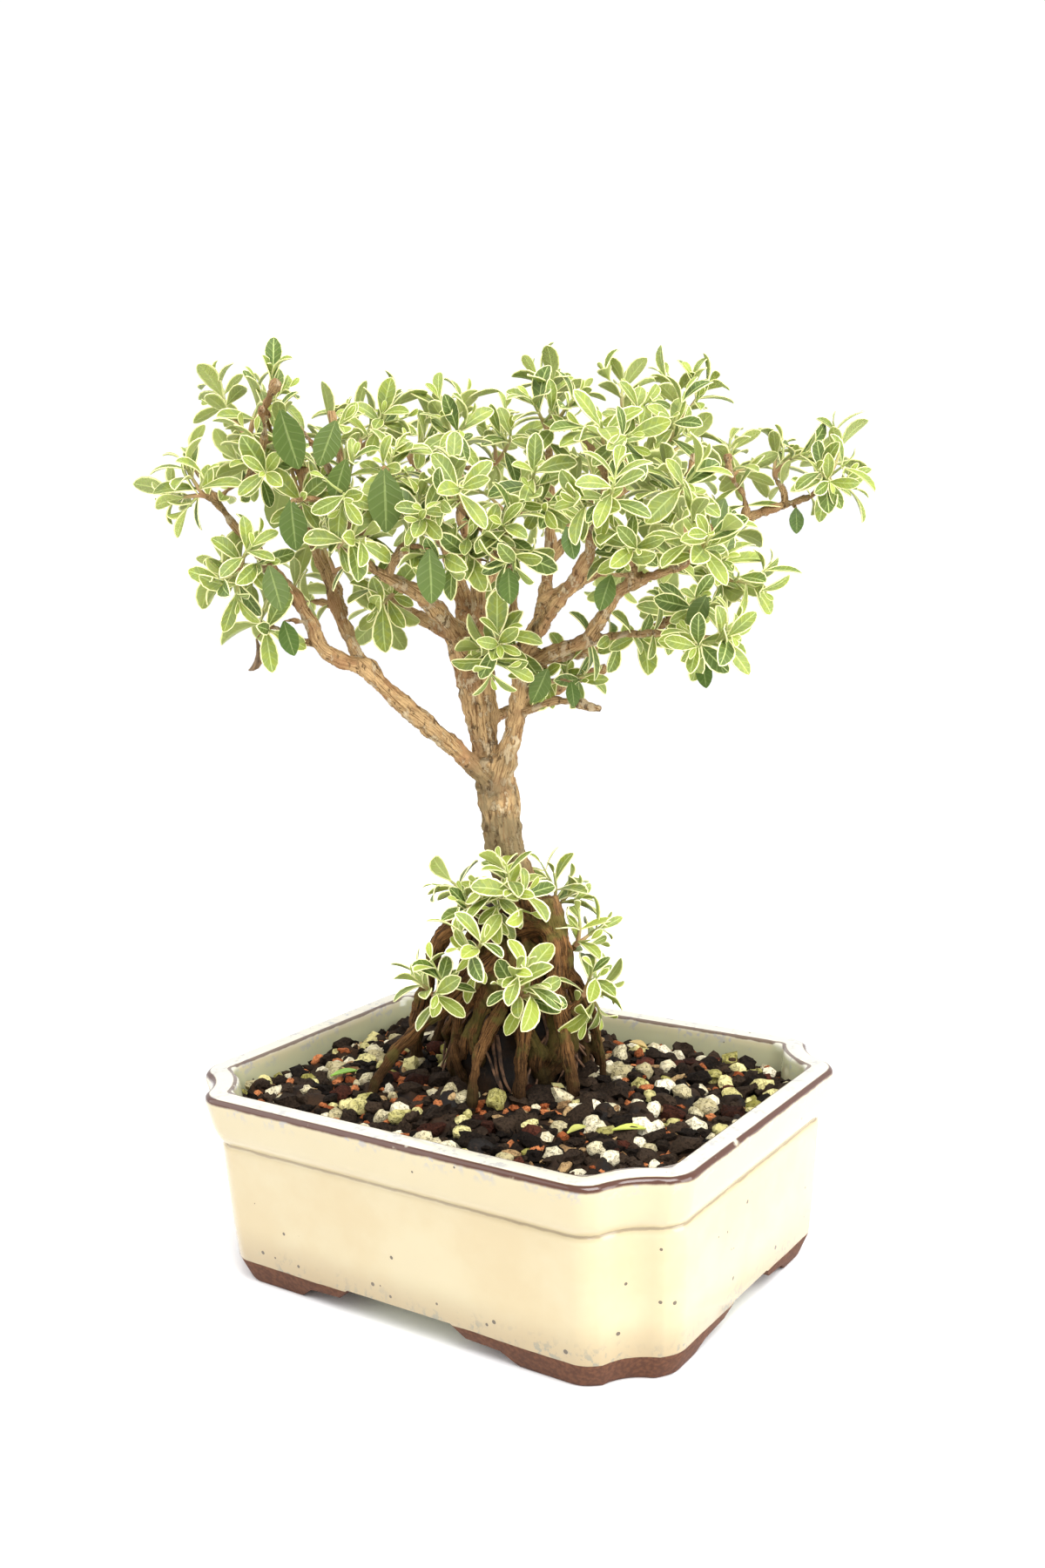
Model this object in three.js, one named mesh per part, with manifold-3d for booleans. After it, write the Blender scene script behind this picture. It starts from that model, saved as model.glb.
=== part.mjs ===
// Variegated serissa bonsai, trained as a small broom over a mass of bare roots, in a glazed
// rectangular pot with cut corners. Millimetres, +Z up.
// The pot is set out round its own middle, on the surface that it stands on. The tree has a
// frame of its own there, turned to its best side: x to the tree's right, y to its back.
import * as THREE from 'three';
import { mergeVertices } from 'three/addons/utils/BufferGeometryUtils.js';
import Module from 'manifold-3d';

const wasm = await Module();
wasm.setup();
const { Manifold } = wasm;

// Pot: outside sizes at the rim, and the corner that is cut off and scooped in.
const POT_LENGTH = 152;
const POT_WIDTH = 120;
const CORNER_CUT = 18;
const CORNER_CUT_LOSS = 0.35;
const CORNER_LOBE = 3.2;
const CORNER_SCOOP = 2.6;

// Pot wall, from the foot up to the lip: inset from the rim's outline, height.
const OUTER_WALL = [
  [8.7, 0], [7.9, 0.9], [5.5, 6.9], [4.7, 17], [3.8, 30], [3.3, 38.4], [3.9, 39.3],
  [2.6, 40.3], [1.4, 44], [0.4, 49], [0, 51.4], [0.4, 52.5], [1.4, 53],
];
// Hollow, from the floor up to the mouth.
const FLOOR_TOP = 12;
const INNER_WALL = [[14, FLOOR_TOP], [11.4, 13.6], [9.4, 20], [8, 38], [6.9, 50], [6.3, 54]];

// Underside: the recess behind the feet, and the stepped gaps between them (half outlines).
const RECESS_INSET = 17;
const FLOOR_UNDER = 7.4;
const LONG_GAP = [[35.5, -1], [34.5, 0.3], [30, 3.5], [20, 4], [16.5, FLOOR_UNDER]];
const SHORT_GAP = [[27, -1], [26, 0.3], [22, 3.1], [13, 4.1], [9.5, FLOOR_UNDER]];
const DRAIN_RADIUS = 6;
const DRAIN_OFFSET = 32;

// Drain screens: plastic mesh laid over the drain holes.
const SCREEN_SIZE = 18;
const SCREEN_THICKNESS = 0.9;
const SCREEN_HOLE = 5.4;
const SCREEN_PITCH = 3.6;

// Clearance where one piece lies against another.
const SEAT_GAP = 0.3;
const LEAF_GAP = 0.25;

// Soil: height at the wall, rise to the middle, and the grit that covers it.
const SOIL_EDGE = 44.5;
const SOIL_RISE = 3.5;
const SOIL_RINGS = [0, 9, 22, 36];
const GRIT_COUNT = 66;
const GRIT_SIZE = [3.6, 5.6];
const GRIT_SPACING = 1.55;
const GRIT_FROM_WALL = 4;

// Tree: where it stands in the pot, and how far its best side is turned from the pot's.
const TREE_AT = [-6, 8, 0];
const TREE_TURN = THREE.MathUtils.degToRad(34.3);

// Root ball: radius at each height, with the part below the soil as a plain plug.
const ROOT_BALL = [
  [17, 32], [19, 44], [19, 52], [17.5, 60], [15.5, 68], [13.5, 76], [11, 84], [8.5, 91], [6, 99],
];
const ROOT_BALL_SIDES = 12;

// Trunk, stems, arms and limbs: points along the middle, then radii spread along the length.
const LIMBS = [
  { name: 'trunk', at: [[4, -1, 82], [3, -1, 93], [2, 0, 103], [0, 0, 111], [-1, 0, 118],
    [-2, 0, 129], [-3, 0, 138]], radii: [6.6, 5.8, 5.4, 5.1, 5.0, 5.3, 5.2], sides: 9 },
  { name: 'main stem', at: [[-3, 0, 130], [-5, 0, 142], [-6, 1, 153], [-7, 2, 160], [-9, 3, 170]],
    radii: [3.6, 3.5, 4.5, 4.9, 5.6], sides: 8 },
  { name: 'right stem', at: [[-1, -2, 130], [2, -4, 142], [5, -6, 153], [6, -8, 162], [6, -8, 168]],
    radii: [3.1, 2.7, 2.4, 2.5, 3.2], sides: 7 },
  { name: 'left arm', at: [[-3, -1, 130], [-10, -6, 138], [-17, -10, 146], [-27, -14, 155],
    [-36, -16, 165]], radii: [2.6, 2.3, 2.2, 2.3], sides: 7 },
  { name: 'left outer', at: [[-35, -16, 164], [-45, -18, 169], [-48, -16, 175], [-53, -14, 183],
    [-61, -10, 193], [-66, -8, 199], [-72, -6, 207], [-77, -4, 215]],
    radii: [2.0, 1.8, 1.5, 1.2, 1.0], sides: 5 },
  { name: 'left inner', at: [[-35, -15, 163], [-41, -10, 176], [-45, -4, 187], [-49, 0, 197],
    [-51, 2, 209], [-51, 2, 216]], radii: [1.8, 1.6, 1.3, 1.0], sides: 5 },
  { name: 'left low twig', at: [[-46, -17, 170], [-53, -14, 172], [-59, -11, 175]],
    radii: [1.0, 0.8], sides: 5 },
  { name: 'left back', at: [[-39, -12, 172], [-44, 8, 183], [-49, 22, 193], [-52, 34, 203]],
    radii: [1.6, 1.4, 1.1], sides: 5 },
  { name: 'low left arm', at: [[-9, 3, 168], [-13, -6, 174], [-18, -12, 180], [-24, -18, 185],
    [-31, -22, 189], [-35, -22, 193]], radii: [2.9, 2.3, 1.7, 1.3], sides: 5 },
  { name: 'pruned stub', at: [[-10, 2, 170], [-16, 0, 173], [-23, 4, 177], [-28, 6, 179]],
    radii: [2.4, 1.8, 1.6], sides: 5 },
  { name: 'middle left', at: [[-9, 3, 168], [-9, 8, 177], [-12, 14, 188], [-16, 20, 199],
    [-19, 24, 211]], radii: [3.2, 2.3, 1.7, 1.2], sides: 5 },
  { name: 'middle back', at: [[-7, 5, 166], [-5, 18, 177], [-1, 28, 188], [1, 36, 199]],
    radii: [2.9, 2.1, 1.5], sides: 5 },
  { name: 'middle front', at: [[-7, -2, 162], [0, -12, 171], [4, -18, 177], [4, -23, 186]],
    radii: [1.7, 1.3, 1.0], sides: 5 },
  { name: 'crown', at: [[-8, 3, 168], [-5, 4, 178], [-6, 2, 190], [-9, 0, 202], [-9, -3, 213]],
    radii: [2.8, 2.0, 1.5, 1.1], sides: 5 },
  { name: 'front right', at: [[5, -7, 164], [9, -14, 170], [13, -22, 176], [18, -30, 183],
    [23, -36, 191], [24, -39, 197]], radii: [2.3, 2.0, 1.7, 1.5], sides: 5 },
  { name: 'right arm', at: [[5, -7, 160], [14, -12, 166], [22, -16, 169], [26, -22, 174],
    [30, -28, 181], [37, -34, 185], [44, -38, 187]], radii: [2.2, 1.9, 1.6, 1.2], sides: 5 },
  { name: 'right back', at: [[5, -6, 165], [11, 8, 174], [14, 20, 186], [15, 22, 200],
    [15, 16, 212]], radii: [2.3, 1.9, 1.5, 1.1], sides: 5 },
  { name: 'right low', at: [[13, -11, 165], [30, 4, 166], [40, 8, 170], [46, 5, 172]],
    radii: [1.5, 1.3, 1.0], sides: 5 },
  { name: 'lower right', at: [[-4, 1, 147], [3, 8, 150], [14, 10, 154], [20, 10, 157],
    [29, 8, 160]], radii: [1.9, 1.5, 1.3], sides: 5 },
  { name: 'far right', at: [[12, 12, 178], [32, 24, 188], [47, 28, 195], [66, 28, 198],
    [77, 26, 202], [88, 24, 205]], radii: [1.9, 1.5, 1.2, 1.0], sides: 5 },
  { name: 'upper right', at: [[14, 20, 189], [27, 30, 203], [42, 32, 213], [50, 26, 221]],
    radii: [1.5, 1.2, 1.0], sides: 5 },
  { name: 'front twig', at: [[19, -31, 184], [26, -28, 196], [28, -25, 208]],
    radii: [1.1, 0.9], sides: 5 },
];

// Bare roots: from the neck of the trunk, over the root ball and into the soil.
const ROOTS = [
  { at: [[0, -2, 91], [-6, -6, 94], [-12, -9, 94], [-18, -8, 90], [-21, -4, 82], [-24, 1, 72],
    [-27, 5, 61], [-28, 8, 42]], radii: [2.6, 2.3, 2.0, 2.2, 1.8] },
  { at: [[-4, -10, 84], [-14, -14, 75], [-22, -13, 69], [-28, -13, 63], [-33, -14, 58],
    [-38, -16, 50], [-42, -18, 40]], radii: [2.6, 2.3, 1.9, 1.6, 1.2] },
  { at: [[1, -13, 78], [-4, -20, 70], [-8, -25, 64], [-10, -28, 58], [-11, -29, 40]],
    radii: [2.2, 1.7, 1.4, 1.4] },
  { at: [[2, -11, 82], [4, -19, 72], [3, -24, 64], [2, -27, 56], [2, -28, 40]],
    radii: [2.4, 1.9, 1.6, 1.5] },
  { at: [[5, -7, 88], [11, -15, 82], [13, -19, 72], [15, -23, 60], [17, -26, 40]],
    radii: [2.3, 2.0, 1.7, 1.4] },
  { at: [[6, -2, 89], [13, -5, 82], [20, -5, 70], [23, -4, 58], [25, -3, 40]],
    radii: [2.2, 1.8, 1.5, 1.3] },
  { at: [[5, 4, 90], [12, 9, 80], [17, 14, 68], [20, 19, 56], [21, 22, 40]],
    radii: [2.4, 2.0, 1.6, 1.4] },
  { at: [[1, 6, 92], [0, 14, 80], [-2, 20, 67], [-3, 25, 55], [-4, 27, 40]],
    radii: [2.4, 2.1, 1.7, 1.4] },
  { at: [[-4, 4, 91], [-11, 10, 79], [-16, 16, 67], [-21, 21, 55], [-25, 24, 40]],
    radii: [2.3, 1.9, 1.5, 1.3] },
  { at: [[3, -6, 90], [10, -13, 92], [12, -16, 86], [11, -18, 74]], radii: [2.0, 2.3, 1.6] },
  { at: [[4, 0, 84], [10, -1, 91], [11, -1, 97]], radii: [2.6, 2.2, 1.8] },
];
const ROOT_SIDES = 5;
const AERIAL_ROOT = { at: [[7, -5, 84], [18, -11, 78], [22, -13, 70], [24, -14, 60], [25, -14, 40]],
  radii: [1, 0.8] };

// Canopy sprays: where each joins its twig, the tips of its shoots, and which tips carry a
// large plain leaf that hangs below them, with that leaf's length.
const LEFT_SPRAYS = [
  { from: [-64, 5, 224], to: [[-75, 25, 240], [-60, 12, 237], [-53, 0, 237]] },
  { from: [-64, -5, 213], to: [[-61, -8, 225], [-72, 18, 220], [-57, -22, 214]] },
  { from: [-74, -14, 209], to: [[-78, -20, 218], [-84, -14, 208]] },
  { from: [-64, -14, 190], to: [[-61, -24, 196], [-74, -4, 192], [-66, -20, 182]] },
  { from: [-54, 6, 181], to: [[-54, 22, 189]] },
  { from: [-60, -12, 175], to: [[-64, -8, 179], [-57, -20, 174]], hang: [[1, 10]] },
  { from: [-50, -8, 206], to: [[-48, -24, 207], [-56, -4, 230], [-40, -12, 228]],
    hang: [[0, 14], [1, 20], [2, 13]] },
  { from: [-37, -22, 206], to: [[-36, -36, 206], [-34, -26, 217]], hang: [[1, 13]] },
  { from: [-37, 6, 221], to: [[-38, 12, 231], [-28, -8, 229]] },
  { from: [-38, -22, 194], to: [[-32, -36, 196], [-43, -24, 199]] },
  { from: [-45, 12, 188], to: [[-38, 15, 189], [-52, 26, 199]] },
  { from: [-54, 38, 204], to: [[-61, 48, 213], [-46, 50, 212]] },
];
const MIDDLE_SPRAYS = [
  { from: [-28, -18, 208], to: [[-27, -28, 215], [-22, -18, 221]], hang: [[0, 17]] },
  { from: [-23, 22, 218], to: [[-26, 28, 230], [-17, 12, 224]] },
  { from: [-19, -26, 198], to: [[-17, -38, 203], [-26, -30, 203]] },
  { from: [-10, -4, 218], to: [[-12, 4, 231], [-8, -18, 223]] },
  { from: [-7, -28, 202], to: [[-7, -42, 208], [-14, -30, 211]] },
  { from: [-4, -24, 191], to: [[-6, -34, 197], [-15, -36, 191]], hang: [[1, 14]] },
  { from: [-1, 26, 217], to: [[-3, 31, 229], [5, 16, 226]] },
  { from: [4, -25, 193], to: [[2, -36, 199], [5, -40, 188]], hang: [[1, 11]] },
  { from: [15, 2, 222], to: [[17, 8, 238], [10, -7, 232], [23, -6, 233]] },
  { from: [14, -16, 205], to: [[11, -28, 213], [16, -34, 204]] },
  { from: [-28, -2, 182], to: [[-32, -15, 178], [-33, 9, 175]] },
  { from: [0, -18, 168], to: [[2, -26, 173], [-2, -24, 161]] },
  { from: [-26, 38, 203], to: [[-33, 47, 212], [-20, 50, 198]] },
  { from: [3, 42, 203], to: [[-8, 54, 213], [6, 58, 213], [19, 52, 203]] },
];
const RIGHT_SPRAYS = [
  { from: [28, -24, 213], to: [[27, -32, 223], [34, -38, 219]] },
  { from: [26, -42, 200], to: [[28, -56, 207], [20, -50, 203]] },
  { from: [37, 8, 225], to: [[36, 12, 237], [41, -8, 230]] },
  { from: [52, 22, 226], to: [[50, 32, 241], [60, 20, 237]] },
  { from: [44, -4, 216], to: [[46, -14, 225], [53, 4, 221]] },
  { from: [46, -28, 200], to: [[46, -41, 207], [39, -24, 207]] },
  { from: [47, -40, 189], to: [[50, -54, 195], [43, -46, 196]] },
  { from: [34, -32, 188], to: [[34, -46, 192], [28, -35, 194]] },
  { from: [67, 22, 210], to: [[66, 22, 222], [74, 31, 213]] },
  { from: [80, 30, 211], to: [[83, 36, 221], [89, 27, 218]] },
  { from: [91, 23, 207], to: [[99, 32, 221], [101, 20, 207], [88, 10, 212]], hang: [[1, 8]] },
  { from: [56, -4, 183], to: [[59, -12, 189], [64, 2, 180], [69, -14, 180]] },
  { from: [48, -10, 175], to: [[51, -27, 180], [47, 10, 176]], hang: [[0, 10]] },
  { from: [48, -26, 170], to: [[57, -40, 170], [48, -42, 168]], hang: [[1, 9]] },
  { from: [35, -4, 169], to: [[38, -13, 169]], hang: [[0, 9]] },
  { from: [15, 2, 157], to: [[10, -14, 161], [25, -8, 160]], hang: [[0, 9]] },
  { from: [31, 43, 209], to: [[27, 54, 222], [40, 58, 216]] },
  { from: [52, 46, 206], to: [[48, 58, 219], [62, 54, 214]] },
  { from: [38, 38, 188], to: [[32, 46, 180], [47, 52, 191]] },
  { from: [58, 38, 194], to: [[57, 50, 200], [69, 40, 200]] },
];
// Shoots that sprout from the old roots.
const ROOT_SHOOTS = [
  { from: [-10, -11, 96], to: [[-17, -6, 106], [-13, -18, 102]] },
  { from: [-1, -11, 98], to: [[0, -16, 111], [-6, -19, 104], [6, -17, 104]] },
  { from: [12, 6, 92], to: [[13, 3, 104], [19, 8, 98]] },
  { from: [-9, -21, 87], to: [[-6, -27, 94], [-13, -26, 91]] },
  { from: [-20, -19, 76], to: [[-25, -21, 82], [-19, -27, 79], [-14, -24, 84]] },
  { from: [3, -26, 77], to: [[-3, -32, 83], [5, -31, 88], [10, -32, 79]] },
  { from: [18, -8, 86], to: [[19, -9, 96], [26, -5, 91]] },
  { from: [19, -16, 74], to: [[22, -19, 83], [27, -14, 76], [24, -20, 69]] },
  { from: [-4, 16, 84], to: [[-2, 20, 94], [-11, 20, 90]] },
];
const NODE_PREFIX = {
  left: 'canopy_left_', middle: 'canopy_middle_', right: 'canopy_right_', root: 'root_shoot_',
};

// Wood that carries the sprays, and the green shoots on it.
const TWIG_BASE_RADIUS = 1.1;
const TWIG_END_RADIUS = 0.75;
const TWIG_SIDES = 4;
const TWIG_BOW = 0.12;
const SHORT_TWIG = 8;
const SHOOT_RADIUS = [0.85, 0.6];
const SHOOT_LIFT = 0.15;
const SHOOT_BENDS = [0, 2.5, 4.5, 7];
const TURN_STEPS = 6;

// Leaf places on a shoot, down from its tip: where each pair grows, and which of the four
// sides of the shoot it grows from. Each pair is turned a quarter from the next.
const SEAT_HEIGHT = 1.2;
const YOUNG_PAIR = { kind: 'young', below: 0, sides: [1, 3] };
const FULL_PAIR = { kind: 'full', below: SEAT_HEIGHT, sides: [0, 2] };
const HANGING_LEAF = { kind: 'hanging', below: 2 * SEAT_HEIGHT, sides: [1, 3] };
const LOWER_PAIR = { kind: 'full', below: 7, sides: [1, 3] };
const FIRST_FORK = 0.8;
const FORK_STEP_OUT = 1.4;
const LONG_SHOOT = 20;
const LONG_STRETCH = 8;
const ROOT_SHOOT_SCALE = 0.95;

// Leaves: length of a full-grown one, width and thickness against it, fold and bent tip.
const LEAF_LENGTH = 11.5;
const LEAF_WIDTH = 0.48;
const LEAF_THICKNESS = 0.7;
const LEAF_FOLD = 0.05;
const LEAF_RECURVE = 0.1;
const FULL_OUTLINE = [[0.34, -0.42], [0.72, -0.45], [1, 0], [0.72, 0.45], [0.34, 0.42]];
const YOUNG_OUTLINE = [[0.48, -0.46], [1, 0], [0.48, 0.46]];
const LEAF_SPREAD = { young: [34, 50], full: [60, 84] };
const LEAF_SCALE = { young: [0.6, 0.8], full: [0.9, 1.15] };
const LEAF_TRIES = [[0, 0], [22, 0], [-22, 0], [0, -16], [28, -14], [-28, -14], [0, 16], [34, 12]];
const HANG_TRIES = [0, 25, -25, 45, -45];
const HANG_WIDTH = 0.45;
const HANG_DROP = 1.4;
const DEAD_LEAF = { at: [-59, -11, 175.5], along: [-0.3, 0.1, -1], length: 9 };

// Colours, roughness.
const FINISHES = {
  glaze: { color: 0xe9e0c6, roughness: 0.18 },
  soil: { color: 0x2a2320, roughness: 0.95 },
  screen: { color: 0x1d1f1d, roughness: 0.7 },
  bark: { color: 0xa07a52, roughness: 0.9 },
  leaf: { color: 0xa9bf6c, roughness: 0.55 },
};

// Every draw comes from one seeded source, so the tree is the same each time.
let seed = 20;
function random(low = 0, high = 1) {
  seed = (seed * 1664525 + 1013904223) % 4294967296;
  return low + (high - low) * (seed / 4294967296);
}

// A closed geometry as a solid, with its shared points merged.
function solidOf(geometry) {
  const bare = geometry.clone();
  bare.deleteAttribute('normal');
  bare.deleteAttribute('uv');
  const merged = mergeVertices(bare, 1e-4);
  return new Manifold(new wasm.Mesh({
    numProp: 3,
    vertProperties: new Float32Array(merged.attributes.position.array),
    triVerts: new Uint32Array(merged.index.array),
  }));
}

function geometryOf(solid) {
  const { vertProperties, triVerts } = solid.getMesh();
  const geometry = new THREE.BufferGeometry();
  geometry.setAttribute('position', new THREE.BufferAttribute(new Float32Array(vertProperties), 3));
  geometry.setIndex(new THREE.BufferAttribute(new Uint32Array(triVerts), 1));
  geometry.computeVertexNormals();
  return geometry;
}

// The largest body of a solid: crumbs that a cut leaves behind are dropped.
function largestBody(solid) {
  return solid.decompose().reduce((best, body) => (body.volume() > best.volume() ? body : best));
}

// Skin through rings of equal count, closed by a flat face at either end.
function skin(rings) {
  const count = rings[0].length;
  const positions = rings.flat().flatMap((point) => point.toArray());
  const index = [];
  for (let ring = 0; ring < rings.length - 1; ring += 1) {
    for (let i = 0; i < count; i += 1) {
      const a = ring * count + i;
      const b = ring * count + (i + 1) % count;
      index.push(a, b, b + count, a, b + count, a + count);
    }
  }
  const capShape = (ring) => {
    const [origin, towards] = ring;
    const across = new THREE.Vector3().subVectors(towards, origin).normalize();
    const normal = new THREE.Vector3();
    ring.forEach((point, i) => normal.add(point.clone().cross(ring[(i + 1) % count])));
    normal.normalize();
    const up = normal.cross(across);
    return ring.map((point) => new THREE.Vector2(point.dot(across), point.dot(up)));
  };
  const top = (rings.length - 1) * count;
  const bottomFaces = THREE.ShapeUtils.triangulateShape(capShape(rings[0]), []);
  const topFaces = THREE.ShapeUtils.triangulateShape(capShape(rings.at(-1)), []);
  bottomFaces.forEach(([a, b, c]) => index.push(a, c, b));
  topFaces.forEach(([a, b, c]) => index.push(top + a, top + b, top + c));
  const geometry = new THREE.BufferGeometry();
  geometry.setAttribute('position', new THREE.Float32BufferAttribute(positions, 3));
  geometry.setIndex(index);
  return geometry;
}

function vector([x, y, z]) {
  return new THREE.Vector3(x, y, z);
}

// A value spread evenly along a length, read at a fraction of it.
function along(values, fraction) {
  const place = fraction * (values.length - 1);
  const low = Math.min(Math.floor(place), values.length - 2);
  return THREE.MathUtils.lerp(values[low], values[low + 1], place - low);
}

// A tapered round stem along a smooth curve, with flat ends. flute draws shallow grooves.
function stem(curve, radii, sides, segments, flute = 0) {
  const frames = curve.computeFrenetFrames(segments, false);
  const rings = frames.tangents.map((tangent, step) => {
    const middle = curve.getPointAt(step / segments);
    const radius = along(radii, step / segments);
    return Array.from({ length: sides }, (unused, i) => {
      const angle = (i / sides) * 2 * Math.PI;
      const reach = radius * (1 + flute * Math.sin(3 * angle + step * 0.7));
      return middle.clone()
        .addScaledVector(frames.normals[step], Math.cos(angle) * reach)
        .addScaledVector(frames.binormals[step], Math.sin(angle) * reach);
    });
  });
  return solidOf(skin(rings));
}

// Plan of the pot: a rectangle whose corners are cut, scooped in, and rounded to a lobe at
// either end of the scoop. It runs anticlockwise.
function potPlan(inset, height) {
  const halfLength = POT_LENGTH / 2 - inset;
  const halfWidth = POT_WIDTH / 2 - inset;
  const cut = CORNER_CUT - inset * CORNER_CUT_LOSS;
  const lobe = Math.min(CORNER_LOBE, cut * 0.3);
  const scoop = cut / 2 + CORNER_SCOOP * (cut / CORNER_CUT);
  const corner = new THREE.Path()
    .moveTo(0, cut + lobe)
    .quadraticCurveTo(0, cut, lobe, cut - lobe)
    .quadraticCurveTo(scoop, scoop, cut - lobe, lobe)
    .quadraticCurveTo(cut, 0, cut + lobe, 0)
    .getPoints(2);
  const back = [...corner].reverse();
  return [
    ...corner.map(({ x, y }) => [halfLength - x, halfWidth - y]),
    ...back.map(({ x, y }) => [x - halfLength, halfWidth - y]),
    ...corner.map(({ x, y }) => [x - halfLength, y - halfWidth]),
    ...back.map(({ x, y }) => [halfLength - x, y - halfWidth]),
  ].map(([x, y]) => new THREE.Vector3(x, y, height));
}

function potLoft(profile, extraInset = 0) {
  return solidOf(skin(profile.map(([inset, height]) => potPlan(inset + extraInset, height))));
}

// A stepped gap between two feet, cut right through the pot along one axis.
function footGap(halfOutline, turn) {
  const mirrored = [...halfOutline].reverse().map(([x, z]) => [-x, z]);
  const outline = [...halfOutline, ...mirrored].map(([x, z]) => new THREE.Vector2(x, z));
  const geometry = new THREE.ExtrudeGeometry(new THREE.Shape(outline), {
    depth: POT_LENGTH * 1.2,
    bevelEnabled: false,
  });
  geometry.translate(0, 0, -POT_LENGTH * 0.6);
  geometry.rotateX(Math.PI / 2);
  geometry.rotateZ(turn);
  return solidOf(geometry);
}

function drainHole(x) {
  const height = FLOOR_TOP - FLOOR_UNDER + 4;
  const geometry = new THREE.CylinderGeometry(DRAIN_RADIUS, DRAIN_RADIUS, height, 16);
  geometry.rotateX(Math.PI / 2);
  geometry.translate(x, 0, (FLOOR_TOP + FLOOR_UNDER) / 2);
  return solidOf(geometry);
}

function makePot() {
  const recess = potLoft([[RECESS_INSET, -1], [RECESS_INSET, FLOOR_UNDER]]);
  return potLoft(OUTER_WALL)
    .subtract(potLoft(INNER_WALL))
    .subtract(recess)
    .subtract(footGap(LONG_GAP, 0))
    .subtract(footGap(SHORT_GAP, Math.PI / 2))
    .subtract(drainHole(-DRAIN_OFFSET))
    .subtract(drainHole(DRAIN_OFFSET));
}

function block(sizeX, sizeY, sizeZ, x, y, z) {
  const geometry = new THREE.BoxGeometry(sizeX, sizeY, sizeZ);
  geometry.translate(x, y, z);
  return solidOf(geometry);
}

// A square of plastic mesh with four holes, lying on the floor over a drain hole.
function makeScreen(x) {
  const middle = FLOOR_TOP + SEAT_GAP + SCREEN_THICKNESS / 2;
  const rows = [-SCREEN_PITCH, SCREEN_PITCH];
  const holes = rows.flatMap((row) => rows.map((column) => (
    block(SCREEN_HOLE, SCREEN_HOLE, SCREEN_THICKNESS * 3, x + column, row, middle))));
  return block(SCREEN_SIZE, SCREEN_SIZE, SCREEN_THICKNESS, x, 0, middle)
    .subtract(Manifold.union(holes));
}

function screenPocket(x) {
  const side = SCREEN_SIZE + 2 * SEAT_GAP;
  const height = SCREEN_THICKNESS + 2 * SEAT_GAP;
  return block(side, side, height, x, 0, FLOOR_TOP + height / 2);
}

// Height of the bare soil: a low mound that is highest round the tree.
function soilHeight(x, y) {
  const out = Math.max(Math.abs(x) / (POT_LENGTH / 2), Math.abs(y) / (POT_WIDTH / 2));
  return SOIL_EDGE + SOIL_RISE * (1 - out * out) / 0.75;
}

// One grain of pumice, lava or bark: a many-sided lump with uneven corners.
function grain(x, y, size) {
  const geometry = new THREE.OctahedronGeometry(1, 0);
  geometry.deleteAttribute('normal');
  geometry.deleteAttribute('uv');
  const lump = mergeVertices(geometry, 1e-4);
  const position = lump.attributes.position;
  for (let i = 0; i < position.count; i += 1) {
    const swell = random(0.82, 1.2);
    position.setXYZ(i, position.getX(i) * swell, position.getY(i) * swell, position.getZ(i) * swell);
  }
  lump.rotateX(random(0, Math.PI));
  lump.rotateZ(random(0, Math.PI));
  lump.scale(size, size * random(0.7, 1), size * random(0.55, 0.8));
  lump.rotateZ(random(0, Math.PI));
  lump.translate(x, y, soilHeight(x, y) + size * random(0.1, 0.3));
  return solidOf(lump);
}

// Grit spread over the whole surface: each grain takes the first free place that it draws.
function scatterGrit() {
  const grains = [];
  const taken = [];
  const halfLength = POT_LENGTH / 2 - INNER_WALL[4][0] - GRIT_FROM_WALL;
  const halfWidth = POT_WIDTH / 2 - INNER_WALL[4][0] - GRIT_FROM_WALL;
  for (let tries = 0; grains.length < GRIT_COUNT && tries < GRIT_COUNT * 60; tries += 1) {
    const size = random(...GRIT_SIZE);
    const x = random(-1, 1) * halfLength;
    const y = random(-1, 1) * halfWidth;
    const inCorner = Math.abs(x) / halfLength + Math.abs(y) / halfWidth > 1.82;
    const free = !inCorner && taken.every((other) => (
      Math.hypot(other.x - x, other.y - y) > (other.size + size) * GRIT_SPACING / 2));
    if (free) {
      taken.push({ x, y, size });
      grains.push(grain(x, y, size));
    }
  }
  return grains;
}

function makeSoil(rootSpace) {
  const bed = INNER_WALL.filter(([, height]) => height < SOIL_EDGE)
    .map(([inset, height], step) => [inset + SEAT_GAP, height + (step === 0 ? SEAT_GAP : 0)]);
  const rimInset = 7.45 + SEAT_GAP;
  const bedRings = bed.map(([inset, height]) => potPlan(inset, height));
  const moundRings = SOIL_RINGS.map((step) => potPlan(rimInset + step, 0).map((point) => {
    const ripple = step > 0 ? random(-0.5, 0.5) : 0;
    return point.setZ(soilHeight(point.x, point.y) + ripple);
  }));
  const space = potLoft([[INNER_WALL[0][0], FLOOR_TOP], ...INNER_WALL.slice(1)], SEAT_GAP + 0.05);
  const mound = solidOf(skin([...bedRings, ...moundRings]));
  return largestBody(Manifold.union([mound, ...scatterGrit()])
    .intersect(space)
    .subtract(rootSpace)
    .subtract(screenPocket(-DRAIN_OFFSET))
    .subtract(screenPocket(DRAIN_OFFSET)));
}

// Limbs

function limbCurve(points) {
  return new THREE.CatmullRomCurve3(points.map(vector));
}

function limbSegments(points) {
  return points.length - 1;
}

function makeLimb({ name, at, radii, sides }) {
  const flute = name === 'trunk' ? 0.07 : 0;
  return stem(limbCurve(at), radii, sides, limbSegments(at), flute);
}

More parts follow.
